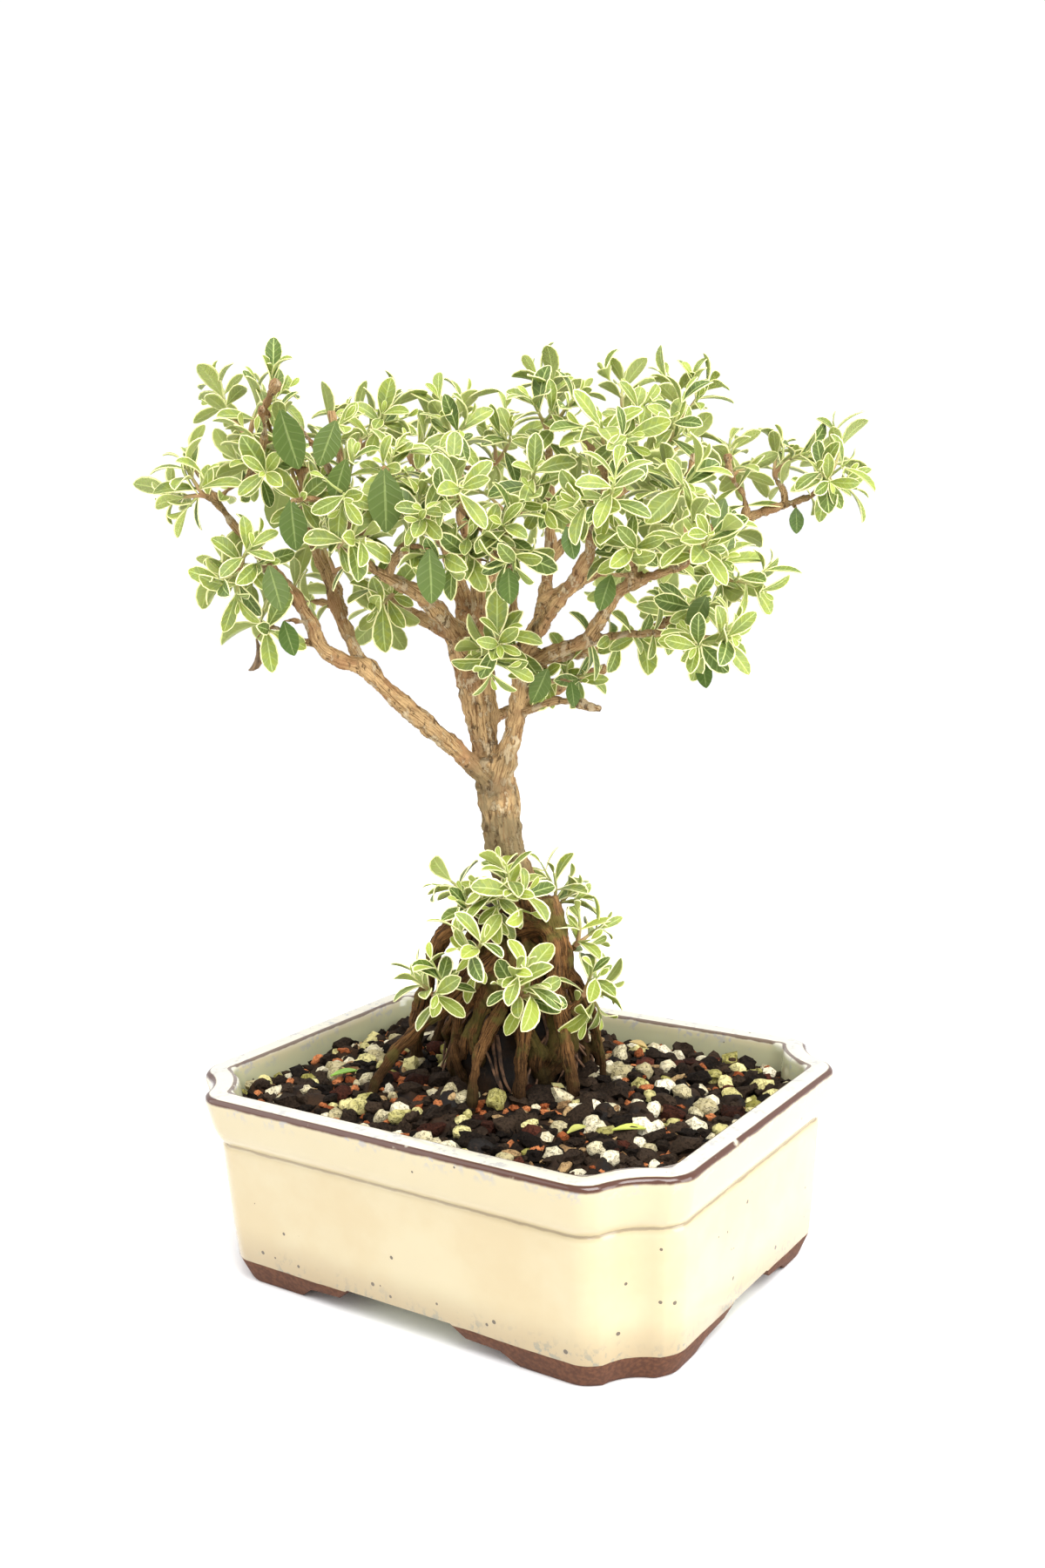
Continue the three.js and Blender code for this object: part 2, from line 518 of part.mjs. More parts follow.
// The root ball: old roots grown into one another, with soil between them. extra widens it.
function rootBall(extra = 0) {
  return solidOf(skin(ROOT_BALL.map(([radius, height], step) => (
    Array.from({ length: ROOT_BALL_SIDES }, (unused, i) => {
      const angle = (i / ROOT_BALL_SIDES) * 2 * Math.PI;
      const wave = 0.1 * Math.sin(4 * angle + step * 1.3) + 0.07 * Math.sin(5 * angle - step * 1.9);
      const reach = radius * (1 + (step < 2 ? 0 : wave)) + extra;
      return new THREE.Vector3(Math.cos(angle) * reach, Math.sin(angle) * reach, height);
    })))));
}

function makeRoots(extra = 0) {
  return [...ROOTS, AERIAL_ROOT].map(({ at, radii }) => {
    const sides = radii.length > 2 ? ROOT_SIDES : 4;
    return stem(limbCurve(at), radii.map((radius) => radius + extra), sides, limbSegments(at));
  });
}

// The place on the wood that a spray's twig grows from: the nearest point that is not above
// the spray, among points taken every few millimetres along the limbs.
function woodPoints(limbs) {
  return limbs.flatMap(({ at, radii }) => {
    const curve = limbCurve(at);
    const steps = Math.ceil(curve.getLength() / 3);
    return Array.from({ length: steps }, (unused, i) => {
      const fraction = (i + 1) / steps;
      return {
        point: curve.getPointAt(fraction),
        tangent: curve.getTangentAt(fraction),
        radius: along(radii, fraction),
      };
    });
  });
}

function nearestWood(target, places) {
  const cost = ({ point }) => {
    const height = point.z - target.z;
    return point.distanceTo(target) + Math.max(0, height + 2) * 1.5;
  };
  return places.reduce((best, place) => (cost(place) < cost(best) ? place : best));
}

// The twig from the wood to a spray. It bows up a little on its way.
function twigCurve(target, place) {
  const distance = place.point.distanceTo(target);
  const middle = place.point.clone().lerp(target, 0.5)
    .addScaledVector(place.tangent, distance * TWIG_BOW);
  return new THREE.CatmullRomCurve3([place.point.clone(), middle, target]);
}

function makeTwig({ target, place }) {
  const base = Math.min(TWIG_BASE_RADIUS, place.radius * 0.9);
  const segments = place.point.distanceTo(target) > SHORT_TWIG ? 2 : 1;
  return stem(twigCurve(target, place), [base, TWIG_END_RADIUS], TWIG_SIDES, segments);
}

// Leaves

// One leaf, grown from a four-cornered seat (lower left, lower right, upper right, upper left,
// seen from outside). x runs along the leaf and z is its upper side. The edges stand a little
// over the middle, the tip bends back, and the keel below gives the blade its thickness.
function leafPoints(seat, x, z, length, width, outline) {
  const y = z.clone().cross(x);
  const { base } = seatFrame(seat);
  const at = (forward, across, up) => base.clone()
    .addScaledVector(x, forward).addScaledVector(y, across).addScaledVector(z, up);
  const edge = outline.map(([forward, across]) => {
    const rise = forward === 1 ? -LEAF_RECURVE : LEAF_FOLD * (1 - forward * 0.6);
    return at(forward * length, across * width, rise * length);
  });
  const keel = at(length / 2, 0, -length * LEAF_RECURVE / 2 - LEAF_THICKNESS);
  return [...seat, ...edge, keel];
}

// Faces of a leaf by its points: the upper side fans out from the tip and the lower side from
// the keel, with a corner at each side of the seat.
function leafFaces(edgeCount) {
  const edge = Array.from({ length: edgeCount }, (unused, i) => 4 + i);
  const keel = 4 + edgeCount;
  const tip = edge[(edgeCount - 1) / 2];
  const upper = [3, ...edge, 2];
  const lower = [0, ...edge, 1];
  const next = (loop, i) => loop[(i + 1) % loop.length];
  return [
    ...upper.map((a, i) => [a, next(upper, i), tip]).filter(([a, b]) => a !== tip && b !== tip),
    ...lower.map((a, i) => [next(lower, i), a, keel]),
    [0, edge[0], 3],
    [1, 2, edge.at(-1)],
  ];
}

function meshOf(points, faces) {
  const geometry = new THREE.BufferGeometry();
  geometry.setAttribute('position', new THREE.Float32BufferAttribute(points.flatMap((point) => (
    point.toArray())), 3));
  geometry.setIndex(faces.flat());
  return geometry;
}

function leafSolid(points, faces) {
  const seatFaces = [[1, 0, 3], [2, 1, 3]];
  return solidOf(meshOf(points, [...faces, ...seatFaces]));
}

// A solid is clear of others if none comes nearer than the gap.
function isClear(solid, others, gap) {
  const box = solid.boundingBox();
  return others.every((other) => {
    const apart = [0, 1, 2].some((axis) => (
      box.min[axis] > other.box.max[axis] + gap || box.max[axis] < other.box.min[axis] - gap));
    return apart || solid.minGap(other.solid, gap * 2) >= gap;
  });
}

function boxed(solid) {
  return { solid, box: solid.boundingBox() };
}

// Ways for a green shoot from a start to a tip: straight first, then bent to each side.
function shootWays(start, heading, tip) {
  const way = new THREE.Vector3().subVectors(tip, start);
  const side = way.clone().cross(heading).normalize();
  const sag = side.clone().cross(way).normalize();
  const quarters = (bend) => (bend === 0 ? [0] : [0, 1, 2, 3]);
  return SHOOT_BENDS.flatMap((bend) => quarters(bend).map((quarter) => {
    const angle = quarter * Math.PI / 2;
    const first = start.clone().addScaledVector(heading, FORK_STEP_OUT);
    const middle = first.clone().lerp(tip, 0.45)
      .addScaledVector(heading, way.length() * SHOOT_LIFT)
      .addScaledVector(side, Math.cos(angle) * bend)
      .addScaledVector(sag, Math.sin(angle) * bend);
    return new THREE.CatmullRomCurve3([start, first, middle, tip]);
  }));
}

// The part of a shoot past its first stretch, for measuring how near it comes to others.
function shootBeyondBase(curve) {
  const rest = new THREE.CatmullRomCurve3(curve.getSpacedPoints(8).slice(1));
  return stem(rest, SHOOT_RADIUS, 4, 4);
}

// Rings of four points along a shoot, under and over each seat, and half way up a long
// bare stretch. The first point of each ring starts out towards facing.
function shootRings(curve, seats, facing) {
  const length = curve.getLength();
  const heights = new Set([0, length]);
  seats.forEach(({ below }) => {
    heights.add(length - below);
    heights.add(length - below - SEAT_HEIGHT);
  });
  const lowest = Math.min(...[...heights].filter((height) => height > 0));
  if (lowest > LONG_STRETCH) {
    heights.add(lowest / 2);
  }
  const levels = [...heights].sort((a, b) => a - b)
    .filter((height, i, all) => i === 0 || height - all[i - 1] > 0.01);
  const normal = facing.clone();
  const rings = levels.map((height, ring) => {
    const fraction = Math.min(height / length, 1);
    const before = ring === 0 ? 0 : levels[ring - 1] / length;
    const tangent = new THREE.Vector3();
    for (let step = 1; step <= TURN_STEPS; step += 1) {
      curve.getTangentAt(THREE.MathUtils.lerp(before, fraction, step / TURN_STEPS), tangent);
      normal.addScaledVector(tangent, -normal.dot(tangent)).normalize();
    }
    const binormal = tangent.clone().cross(normal);
    const radius = along(SHOOT_RADIUS, fraction);
    return [0, 1, 2, 3].map((i) => curve.getPointAt(fraction)
      .addScaledVector(normal, Math.cos(i * Math.PI / 2) * radius)
      .addScaledVector(binormal, Math.sin(i * Math.PI / 2) * radius));
  });
  return { length, levels, rings };
}

// Middle of a seat, the way along the shoot there, and the way out of it.
function seatFrame([lowLeft, lowRight, highRight, highLeft]) {
  const base = new THREE.Vector3().add(lowLeft).add(lowRight).add(highRight).add(highLeft).divideScalar(4);
  const axis = new THREE.Vector3().addVectors(highLeft, highRight).sub(lowLeft).sub(lowRight).normalize();
  const outward = new THREE.Vector3().subVectors(lowRight, lowLeft).cross(axis).normalize();
  return { base, axis, outward };
}

// Direction and upper side of a leaf that grows from one side of a shoot.
function leafAxes(seat, kind, [turn, lean], spread) {
  const { axis, outward } = seatFrame(seat);
  outward.applyAxisAngle(axis, THREE.MathUtils.degToRad(turn));
  if (kind === 'hanging') {
    const x = outward.add(new THREE.Vector3(0, 0, -HANG_DROP)).normalize();
    const z = axis.addScaledVector(x, -axis.dot(x)).normalize();
    return { x, z };
  }
  const angle = THREE.MathUtils.degToRad(spread + lean);
  const x = axis.clone().multiplyScalar(Math.cos(angle)).addScaledVector(outward, Math.sin(angle));
  const z = axis.addScaledVector(x, -axis.dot(x)).normalize();
  return { x, z };
}

// The first way to grow a leaf from a seat. All of it keeps clear of the first pieces, and its
// blade keeps clear of the pieces beside it.
function growLeaf(seat, kind, length, apart, beside) {
  const outline = kind === 'young' ? YOUNG_OUTLINE : FULL_OUTLINE;
  const faces = leafFaces(outline.length);
  const spread = kind === 'hanging' ? 0 : random(...LEAF_SPREAD[kind]);
  const tries = kind === 'hanging' ? HANG_TRIES.map((turn) => [turn, 0]) : LEAF_TRIES;
  const width = length * (kind === 'hanging' ? HANG_WIDTH : LEAF_WIDTH);
  for (const attempt of tries) {
    const { x, z } = leafAxes(seat, kind, attempt, spread);
    const points = leafPoints(seat, x, z, length, width, outline);
    const solid = leafSolid(points, faces);
    const shift = x.clone().multiplyScalar(length * 0.2);
    const blade = leafSolid(points.map((point, i) => (i < 4 ? point.clone().add(shift) : point)), faces);
    if (isClear(solid, apart, LEAF_GAP / 2) && isClear(blade, beside, LEAF_GAP / 2)) {
      return { points, faces, solid, blade };
    }
  }
  return null;
}

// The side of the shoot that each fork leaves from: the one that faces the fork's tip best.
function forkPlaces({ length, levels, rings }, seats) {
  return seats.filter(({ kind }) => kind === 'fork').map(({ below, tip, towards }) => {
    const ring = levels.findIndex((level) => Math.abs(length - below - level) < 0.01) - 1;
    const sides = [0, 1, 2, 3].map((side) => {
      const next = (side + 1) % 4;
      return [rings[ring][side], rings[ring][next], rings[ring + 1][next], rings[ring + 1][side]];
    });
    const facing = sides.map((corners) => seatFrame(corners).outward.dot(towards));
    const side = facing.indexOf(Math.max(...facing));
    return { ring, side, tip, ...seatFrame(sides[side]), edge: sides[side][0] };
  });
}

// One shoot, added to the skin of its spray. Each leaf takes the place of the side of the
// shoot that it grows from, and the sides in open are left for the forks.
function growShoot(skinned, shoot, base, seats, open, size, apart, near) {
  const { length, levels, rings } = shoot;
  const { points, faces } = skinned;
  const ids = rings.map((ring, step) => {
    if (step === 0 && base) {
      return base;
    }
    points.push(...ring);
    return [4, 3, 2, 1].map((back) => points.length - back);
  });
  const leaves = [];
  const beside = [...near, boxed(solidOf(skin(rings)))];
  const addSide = (corners, seat) => {
    const wanted = seat && (seat.kind !== 'hanging' || leaves.every(({ kind }) => kind !== 'hanging'));
    const reach = seat?.kind === 'hanging' ? size.hanging : LEAF_LENGTH * size.scale
      * (wanted ? random(...(LEAF_SCALE[seat.kind])) : 1);
    const leaf = wanted && growLeaf(corners.map((i) => points[i].clone()), seat.kind, reach,
      [...apart, ...leaves.map(({ blade }) => blade)], [...beside, ...leaves]);
    if (!leaf) {
      const [a, b, c, d] = corners;
      faces.push([a, b, c], [a, c, d]);
      return;
    }
    const offset = points.length - 4;
    points.push(...leaf.points.slice(4));
    faces.push(...leaf.faces.map((face) => face.map((i) => (i < 4 ? corners[i] : i + offset))));
    leaves.push({ kind: seat.kind, ...boxed(leaf.solid), blade: boxed(leaf.blade) });
  };
  levels.slice(1).forEach((level, ring) => {
    const seat = seats.find(({ below }) => Math.abs(length - below - level) < 0.01);
    [0, 1, 2, 3].forEach((side) => {
      const next = (side + 1) % 4;
      const corners = [ids[ring][side], ids[ring][next], ids[ring + 1][next], ids[ring + 1][side]];
      const fork = open.find((place) => place.ring === ring && place.side === side);
      if (fork) {
        fork.corners = corners;
      } else {
        addSide(corners, seat?.sides?.includes(side) ? seat : undefined);
      }
    });
  });
  if (!base) {
    const [a, b, c, d] = ids[0];
    faces.push([a, c, b], [a, d, c]);
  }
  const [a, b, c, d] = ids.at(-1);
  faces.push([a, b, c], [a, c, d]);
  return leaves;
}

// A spray in one skin: a leading shoot from the twig, side shoots that fork from it, leaves.
// All ways are found first, so that the leaves of the leading shoot keep off the forks.
function makeSpray({ from, to, hang = [] }, heading, others, scale) {
  const skinned = { points: [], faces: [] };
  const woods = [];
  const pickWay = (start, way, tip) => shootWays(start, way, tip).find((curve) => {
    const beyond = shootBeyondBase(curve);
    return isClear(beyond, others, LEAF_GAP) && isClear(beyond, woods, LEAF_GAP / 2);
  });
  const hangOf = (order) => hang.find(([index]) => index === order)?.[1];
  const crownSeats = (order) => (
    hangOf(order) ? [YOUNG_PAIR, FULL_PAIR, HANGING_LEAF] : [YOUNG_PAIR, FULL_PAIR]);

  const start = vector(from).addScaledVector(heading, SEAT_GAP);
  const leader = pickWay(start, heading, vector(to[0])) ?? shootWays(start, heading, vector(to[0]))[0];
  const length = leader.getLength();
  const seats = crownSeats(0);
  const room = length - SEAT_HEIGHT * (seats.length + 1) - FIRST_FORK - 0.2;
  const sideTips = to.slice(1);
  sideTips.forEach((tip, order) => {
    const height = FIRST_FORK + room * ((order + 1) / sideTips.length);
    const towards = vector(tip).sub(leader.getPointAt(height / length)).normalize();
    seats.push({ kind: 'fork', below: length - height - SEAT_HEIGHT, tip: order + 1, towards });
  });
  const facing = new THREE.Vector3(random(-1, 1), random(-1, 1), 0.3);
  const shoot = shootRings(leader, seats, facing);
  woods.push(boxed(shootBeyondBase(leader)));
  const forks = [];
  forkPlaces(shoot, seats).forEach((place) => {
    const curve = pickWay(place.base, place.outward, vector(to[place.tip]));
    if (!curve) {
      console.error('fork left out', from, to[place.tip]);
      return;
    }
    const sideSeats = crownSeats(place.tip);
    if (curve.getLength() > LONG_SHOOT) {
      sideSeats.push(LOWER_PAIR);
    }
    const sideShoot = shootRings(curve, sideSeats, place.edge.clone().sub(place.base));
    forks.push({ ...place, sideShoot, sideSeats, wood: boxed(solidOf(skin(sideShoot.rings))) });
    woods.push(boxed(shootBeyondBase(curve)));
  });
  const leaderWood = boxed(solidOf(skin(shoot.rings)));
  const leaves = growShoot(skinned, shoot, null, seats, forks, { scale, hanging: hangOf(0) },
    others, forks.map(({ wood }) => wood));

  forks.forEach((fork) => {
    const size = { scale, hanging: hangOf(fork.tip) };
    const beside = [leaderWood, ...forks.filter((other) => other !== fork).map(({ wood }) => wood)];
    leaves.push(...growShoot(skinned, fork.sideShoot, fork.corners, fork.sideSeats, [], size,
      [...others, ...leaves], beside));
  });
  return solidOf(meshOf(skinned.points, skinned.faces));
}

// A withered leaf that still hangs from the low twig.
function makeDeadLeaf() {
  const x = vector(DEAD_LEAF.along).normalize();
  const z = new THREE.Vector3(0, -1, 0).addScaledVector(x, x.y).normalize();
  const y = z.clone().cross(x);
  const half = LEAF_THICKNESS / 2;
  const seat = [[-half, -half], [half, -half], [half, half], [-half, half]].map(([across, up]) => (
    vector(DEAD_LEAF.at).addScaledVector(y, across).addScaledVector(z, up)));
  const width = DEAD_LEAF.length * 0.3;
  return leafSolid(leafPoints(seat, x, z, DEAD_LEAF.length, width, FULL_OUTLINE), leafFaces(5));
}

// The whole tree: its wood first, then each spray clear of the wood and of the sprays before.
function makeTree() {
  const groups = [
    ['left', LEFT_SPRAYS], ['middle', MIDDLE_SPRAYS], ['right', RIGHT_SPRAYS], ['root', ROOT_SHOOTS],
  ];
  const limbPlaces = woodPoints(LIMBS.slice(1));
  const rootPlaces = woodPoints([...ROOTS, LIMBS[0]]);
  const sprays = groups.flatMap(([group, list]) => list.map((spray, order) => {
    const target = vector(spray.from);
    const place = nearestWood(target, group === 'root' ? rootPlaces : limbPlaces);
    const name = NODE_PREFIX[group] + String(order + 1).padStart(2, '0');
    return { name, group, spray, target, place };
  }));
  const wood = largestBody(Manifold.union([
    rootBall(),
    ...makeRoots(),
    ...LIMBS.map(makeLimb),
    ...sprays.map(makeTwig),
    makeDeadLeaf(),
  ]));
  const pieces = [{ name: 'tree', ...boxed(wood) }];
  sprays.forEach(({ name, group, spray, target, place }) => {
    const heading = twigCurve(target, place).getTangentAt(1);
    const solid = makeSpray(spray, heading, pieces, group === 'root' ? ROOT_SHOOT_SCALE : 1);
    pieces.push({ name, ...boxed(solid) });
  });
  return pieces;
}

// Assembly

const materials = Object.fromEntries(Object.entries(FINISHES).map(([name, finish]) => (
  [name, new THREE.MeshStandardMaterial({ ...finish, metalness: 0 })])));

function node(name, solid, material) {
  const mesh = new THREE.Mesh(geometryOf(solid), materials[material]);
  mesh.name = name;
  return mesh;
}

const turnTree = new THREE.Matrix4().makeRotationZ(TREE_TURN).setPosition(...TREE_AT);
const rootSpace = Manifold.union([rootBall(SEAT_GAP), ...makeRoots(SEAT_GAP)])
  .transform(turnTree.toArray());

const tree = new THREE.Group();
tree.position.set(...TREE_AT);
tree.rotation.z = TREE_TURN;
makeTree().forEach(({ name, solid }) => {
  tree.add(node(name, solid, name === 'tree' ? 'bark' : 'leaf'));
});

const bonsai = new THREE.Group();
bonsai.add(
  node('pot', makePot(), 'glaze'),
  node('drain_screen_left', makeScreen(-DRAIN_OFFSET), 'screen'),
  node('drain_screen_right', makeScreen(DRAIN_OFFSET), 'screen'),
  node('soil', makeSoil(rootSpace), 'soil'),
  tree,
);

// The origin goes to the middle of the whole footprint, on the surface.
const footprint = new THREE.Box3().setFromObject(bonsai, true);
bonsai.position.set(
  -(footprint.min.x + footprint.max.x) / 2,
  -(footprint.min.y + footprint.max.y) / 2,
  -footprint.min.z,
);

export default bonsai;
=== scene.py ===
import math
import random

import bpy
import numpy as np
from mathutils import Matrix, Quaternion, Vector, noise
from mathutils.bvhtree import BVHTree
from mathutils.kdtree import KDTree


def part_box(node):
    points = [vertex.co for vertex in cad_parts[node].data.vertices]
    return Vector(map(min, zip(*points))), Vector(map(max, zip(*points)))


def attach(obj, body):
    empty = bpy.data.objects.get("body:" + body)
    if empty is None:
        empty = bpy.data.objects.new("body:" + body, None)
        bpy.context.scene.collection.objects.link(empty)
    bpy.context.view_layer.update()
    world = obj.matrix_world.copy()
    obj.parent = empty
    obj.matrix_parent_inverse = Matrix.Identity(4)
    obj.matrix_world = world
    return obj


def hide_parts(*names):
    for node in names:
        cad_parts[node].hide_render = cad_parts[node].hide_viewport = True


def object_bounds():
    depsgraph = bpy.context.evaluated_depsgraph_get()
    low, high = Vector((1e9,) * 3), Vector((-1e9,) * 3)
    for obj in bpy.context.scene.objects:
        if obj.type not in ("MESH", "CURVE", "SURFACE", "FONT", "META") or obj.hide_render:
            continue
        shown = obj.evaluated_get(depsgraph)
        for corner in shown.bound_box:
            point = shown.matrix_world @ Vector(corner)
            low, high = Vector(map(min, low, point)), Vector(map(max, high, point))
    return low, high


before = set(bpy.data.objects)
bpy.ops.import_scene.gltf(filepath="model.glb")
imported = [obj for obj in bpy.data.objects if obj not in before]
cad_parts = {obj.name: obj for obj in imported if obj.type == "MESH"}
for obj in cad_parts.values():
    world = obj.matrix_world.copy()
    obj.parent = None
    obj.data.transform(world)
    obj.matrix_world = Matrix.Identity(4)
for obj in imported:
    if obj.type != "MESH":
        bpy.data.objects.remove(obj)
cad_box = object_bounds()

# Pot. Slip-cast stoneware with a tapered wall, a swelling lip over a groove, and corners cut off
# and scooped in. Cream glaze runs thin and brown on the edges and stops short of the bare brown
# foot, which stepped gaps cut into four feet.
MM = 0.001
POT_LENGTH = 152
POT_WIDTH = 120
CORNER_CUT = 18
CORNER_CUT_LOSS = 0.35
CORNER_LOBE = 3.2
LOBE_SHARE = 0.3
CORNER_SCOOP = 2.6
CORNER_STEPS = 7
RIM_STEPS = 40
POT_WALL = [
    (8.7, 0), (8.3, 0.25), (7.9, 0.9), (5.5, 6.9), (4.7, 17), (3.8, 30), (3.4, 37), (3.35, 38.3),
    (3.65, 38.9), (3.9, 39.3), (3.7, 39.7), (2.9, 40.4), (2.0, 42.2), (1.4, 44), (0.85, 46.5),
    (0.4, 49), (0.1, 50.4), (0, 51.4), (0.1, 52.0), (0.4, 52.5), (0.85, 52.85), (1.5, 52.98),
    (3.6, 53), (5.7, 52.98), (6.2, 52.8), (6.5, 52.3), (6.9, 50), (8, 38), (9.4, 20), (11.4, 13.6),
    (12.4, 12.5), (14, 12),
]
FLOOR_UNDER = 7.4
RECESS_INSET = 17
LONG_GAP = [(35.5, -1), (34.5, 0.3), (30, 3.5), (20, 4), (16.5, FLOOR_UNDER)]
SHORT_GAP = [(27, -1), (26, 0.3), (22, 3.1), (13, 4.1), (9.5, FLOOR_UNDER)]
DRAIN_RADIUS = 6
DRAIN_OFFSET = 32
DRAIN_SIDES = 48
DRAIN_CUT = 12
DRAIN_MIDDLE = 10
EDGE_ROUNDING = 0.3
SMOOTH_ANGLE = math.radians(40)
GLAZE_CREAM = (0.475, 0.385, 0.228, 1)
GLAZE_PALE = (0.50, 0.43, 0.275, 1)
GLAZE_THICK_AND_SHADE = (0.36, 0.275, 0.155, 1)
GLAZE_LIP = (0.68, 0.65, 0.55, 1)
GLAZE_INSIDE = (0.44, 0.44, 0.28, 1)
GLAZE_BROWN = (0.07, 0.025, 0.014, 1)
GLAZE_GREY = (0.20, 0.205, 0.165, 1)
GLAZE_BLUE = (0.30, 0.31, 0.35, 1)
PIN_SPECK = (0.05, 0.035, 0.028, 1)
BARE_CLAY = (0.07, 0.025, 0.011, 1)
BARE_CLAY_PALE = (0.12, 0.044, 0.019, 1)
FOOT_LINE = 7.0
WORN_EDGES = [(52.4, 0.4, 1.25, 1.1, 1.0), (52.7, 6.3, 0.7, 0.7, 0.85), (39.3, 3.9, 0.5, 1.2, 0.36)]

pot_low, pot_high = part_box("pot")
pot_middle = Vector(((pot_low.x + pot_high.x) / 2, (pot_low.y + pot_high.y) / 2, 0))


class Finish:
    """A material, with short calls for the nodes that repeat in it."""

    def __init__(self, name):
        self.material = bpy.data.materials.new(name)
        self.material.use_nodes = True
        self.tree = self.material.node_tree
        self.surface = self.tree.nodes["Principled BSDF"]

    def add(self, kind, **settings):
        made = self.tree.nodes.new(kind)
        for name, value in settings.items():
            setattr(made, name, value)
        return made

    def put(self, value, socket):
        if isinstance(value, bpy.types.NodeSocket):
            self.tree.links.new(value, socket)
        else:
            socket.default_value = value

    def place(self):
        return self.add("ShaderNodeTexCoord").outputs["Object"]

    def attribute(self, name, output="Fac"):
        return self.add("ShaderNodeAttribute", attribute_name=name).outputs[output]

    def axis(self, vector, letter):
        split = self.add("ShaderNodeSeparateXYZ")
        self.put(vector, split.inputs[0])
        return split.outputs[letter]

    def sum(self, operation, first, second=0.0):
        made = self.add("ShaderNodeMath", operation=operation)
        self.put(first, made.inputs[0])
        self.put(second, made.inputs[1])
        return made.outputs[0]

    def times(self, first, second):
        return self.sum("MULTIPLY", first, second)

    def plus(self, first, second):
        return self.sum("ADD", first, second)

    def minus(self, first, second):
        return self.sum("SUBTRACT", first, second)

    def stretched(self, vector, scale):
        made = self.add("ShaderNodeMapping")
        self.put(vector, made.inputs["Vector"])
        made.inputs["Scale"].default_value = scale
        return made.outputs[0]

    def cloud(self, vector, scale, detail=3.0, roughness=0.55):
        made = self.add("ShaderNodeTexNoise")
        self.put(vector, made.inputs["Vector"])
        made.inputs["Scale"].default_value = scale
        made.inputs["Detail"].default_value = detail
        made.inputs["Roughness"].default_value = roughness
        return made.outputs["Fac"]

    def spread(self, value, low, high, to_low=0.0, to_high=1.0):
        made = self.add("ShaderNodeMapRange", interpolation_type="SMOOTHSTEP")
        self.put(value, made.inputs["Value"])
        self.put(low, made.inputs["From Min"])
        self.put(high, made.inputs["From Max"])
        self.put(to_low, made.inputs["To Min"])
        self.put(to_high, made.inputs["To Max"])
        return made.outputs["Result"]

    def mix(self, share, first, second):
        made = self.add("ShaderNodeMix", data_type="RGBA")
        self.put(share, made.inputs[0])
        self.put(first, made.inputs[6])
        self.put(second, made.inputs[7])
        return made.outputs[2]

    def over(self, base, colour, value, low, high, to_low=0.0, to_high=1.0):
        """A colour laid over another where a value lies between two bounds."""
        return self.mix(self.spread(value, low, high, to_low, to_high), base, colour)

    def height(self, place):
        """Height over the surface that the pot stands on, in millimetres."""
        return self.sum("DIVIDE", self.axis(place, "Z"), MM)

    def set(self, name, value):
        self.put(value, self.surface.inputs[name])

    def colour(self, value):
        self.set("Base Color", value)

    def roughness(self, value):
        self.set("Roughness", value)

    def bump(self, height, strength, distance):
        made = self.add("ShaderNodeBump")
        made.inputs["Strength"].default_value = strength
        made.inputs["Distance"].default_value = distance
        self.put(height, made.inputs["Height"])
        self.set("Normal", made.outputs[0])


def select_only(piece):
    bpy.ops.object.select_all(action="DESELECT")
    piece.select_set(True)
    bpy.context.view_layer.objects.active = piece


def apply_modifier(piece, kind, **settings):
    select_only(piece)
    modifier = piece.modifiers.new(kind.lower(), kind)
    for name, value in settings.items():
        setattr(modifier, name, value)
    bpy.ops.object.modifier_apply(modifier=modifier.name)


def smooth(piece, angle=SMOOTH_ANGLE):
    select_only(piece)
    bpy.ops.object.shade_smooth_by_angle(angle=angle)


def finish_piece(piece, material, slot, *nodes):
    piece.data.materials.clear()
    piece.data.materials.append(material)
    if nodes:
        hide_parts(*nodes)
    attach(piece, "root")


def arc(start, control, end):
    """Points along a bowed line, without its end."""
    return [
        ((1 - t) ** 2 * start[0] + 2 * t * (1 - t) * control[0] + t * t * end[0],
         (1 - t) ** 2 * start[1] + 2 * t * (1 - t) * control[1] + t * t * end[1])
        for t in (step / CORNER_STEPS for step in range(CORNER_STEPS))
    ]


def pot_outline(inset, height):
    """The pot's outline at an inset from the rim, anticlockwise."""
    half_length = POT_LENGTH / 2 - inset
    half_width = POT_WIDTH / 2 - inset
    cut = CORNER_CUT - inset * CORNER_CUT_LOSS
    lobe = min(CORNER_LOBE, cut * LOBE_SHARE)
    scoop = cut / 2 + CORNER_SCOOP * cut / CORNER_CUT
    corner = arc((0, cut + lobe), (0, cut), (lobe, cut - lobe))
    corner += arc((lobe, cut - lobe), (scoop, scoop), (cut - lobe, lobe))
    corner += arc((cut - lobe, lobe), (cut, 0), (cut + lobe, 0))
    corner.append((cut + lobe, 0))
    back_round = corner[::-1]
    outline = [(half_length - x, half_width - y) for x, y in corner]
    outline += [(x - half_length, half_width - y) for x, y in back_round]
    outline += [(x - half_length, y - half_width) for x, y in corner]
    outline += [(half_length - x, y - half_width) for x, y in back_round]
    return [pot_middle + Vector((x, y, height)) * MM for x, y in outline]


def new_piece(name, points, faces):
    mesh = bpy.data.meshes.new(name)
    mesh.from_pydata([tuple(point) for point in points], [], faces)
    piece = bpy.data.objects.new(name, mesh)
    bpy.context.collection.objects.link(piece)
    return piece


def ring_skin(rings):
    """Points and faces of a closed skin through rings of equal count."""
    count = len(rings[0])
    faces = [
        (ring * count + i, ring * count + (i + 1) % count,
         (ring + 1) * count + (i + 1) % count, (ring + 1) * count + i)
        for ring in range(len(rings) - 1) for i in range(count)
    ]
    faces.append(tuple(range(count - 1, -1, -1)))
    faces.append(tuple(range((len(rings) - 1) * count, len(rings) * count)))
    return [point for ring in rings for point in ring], faces


def loft(name, rings):
    return new_piece(name, *ring_skin(rings))


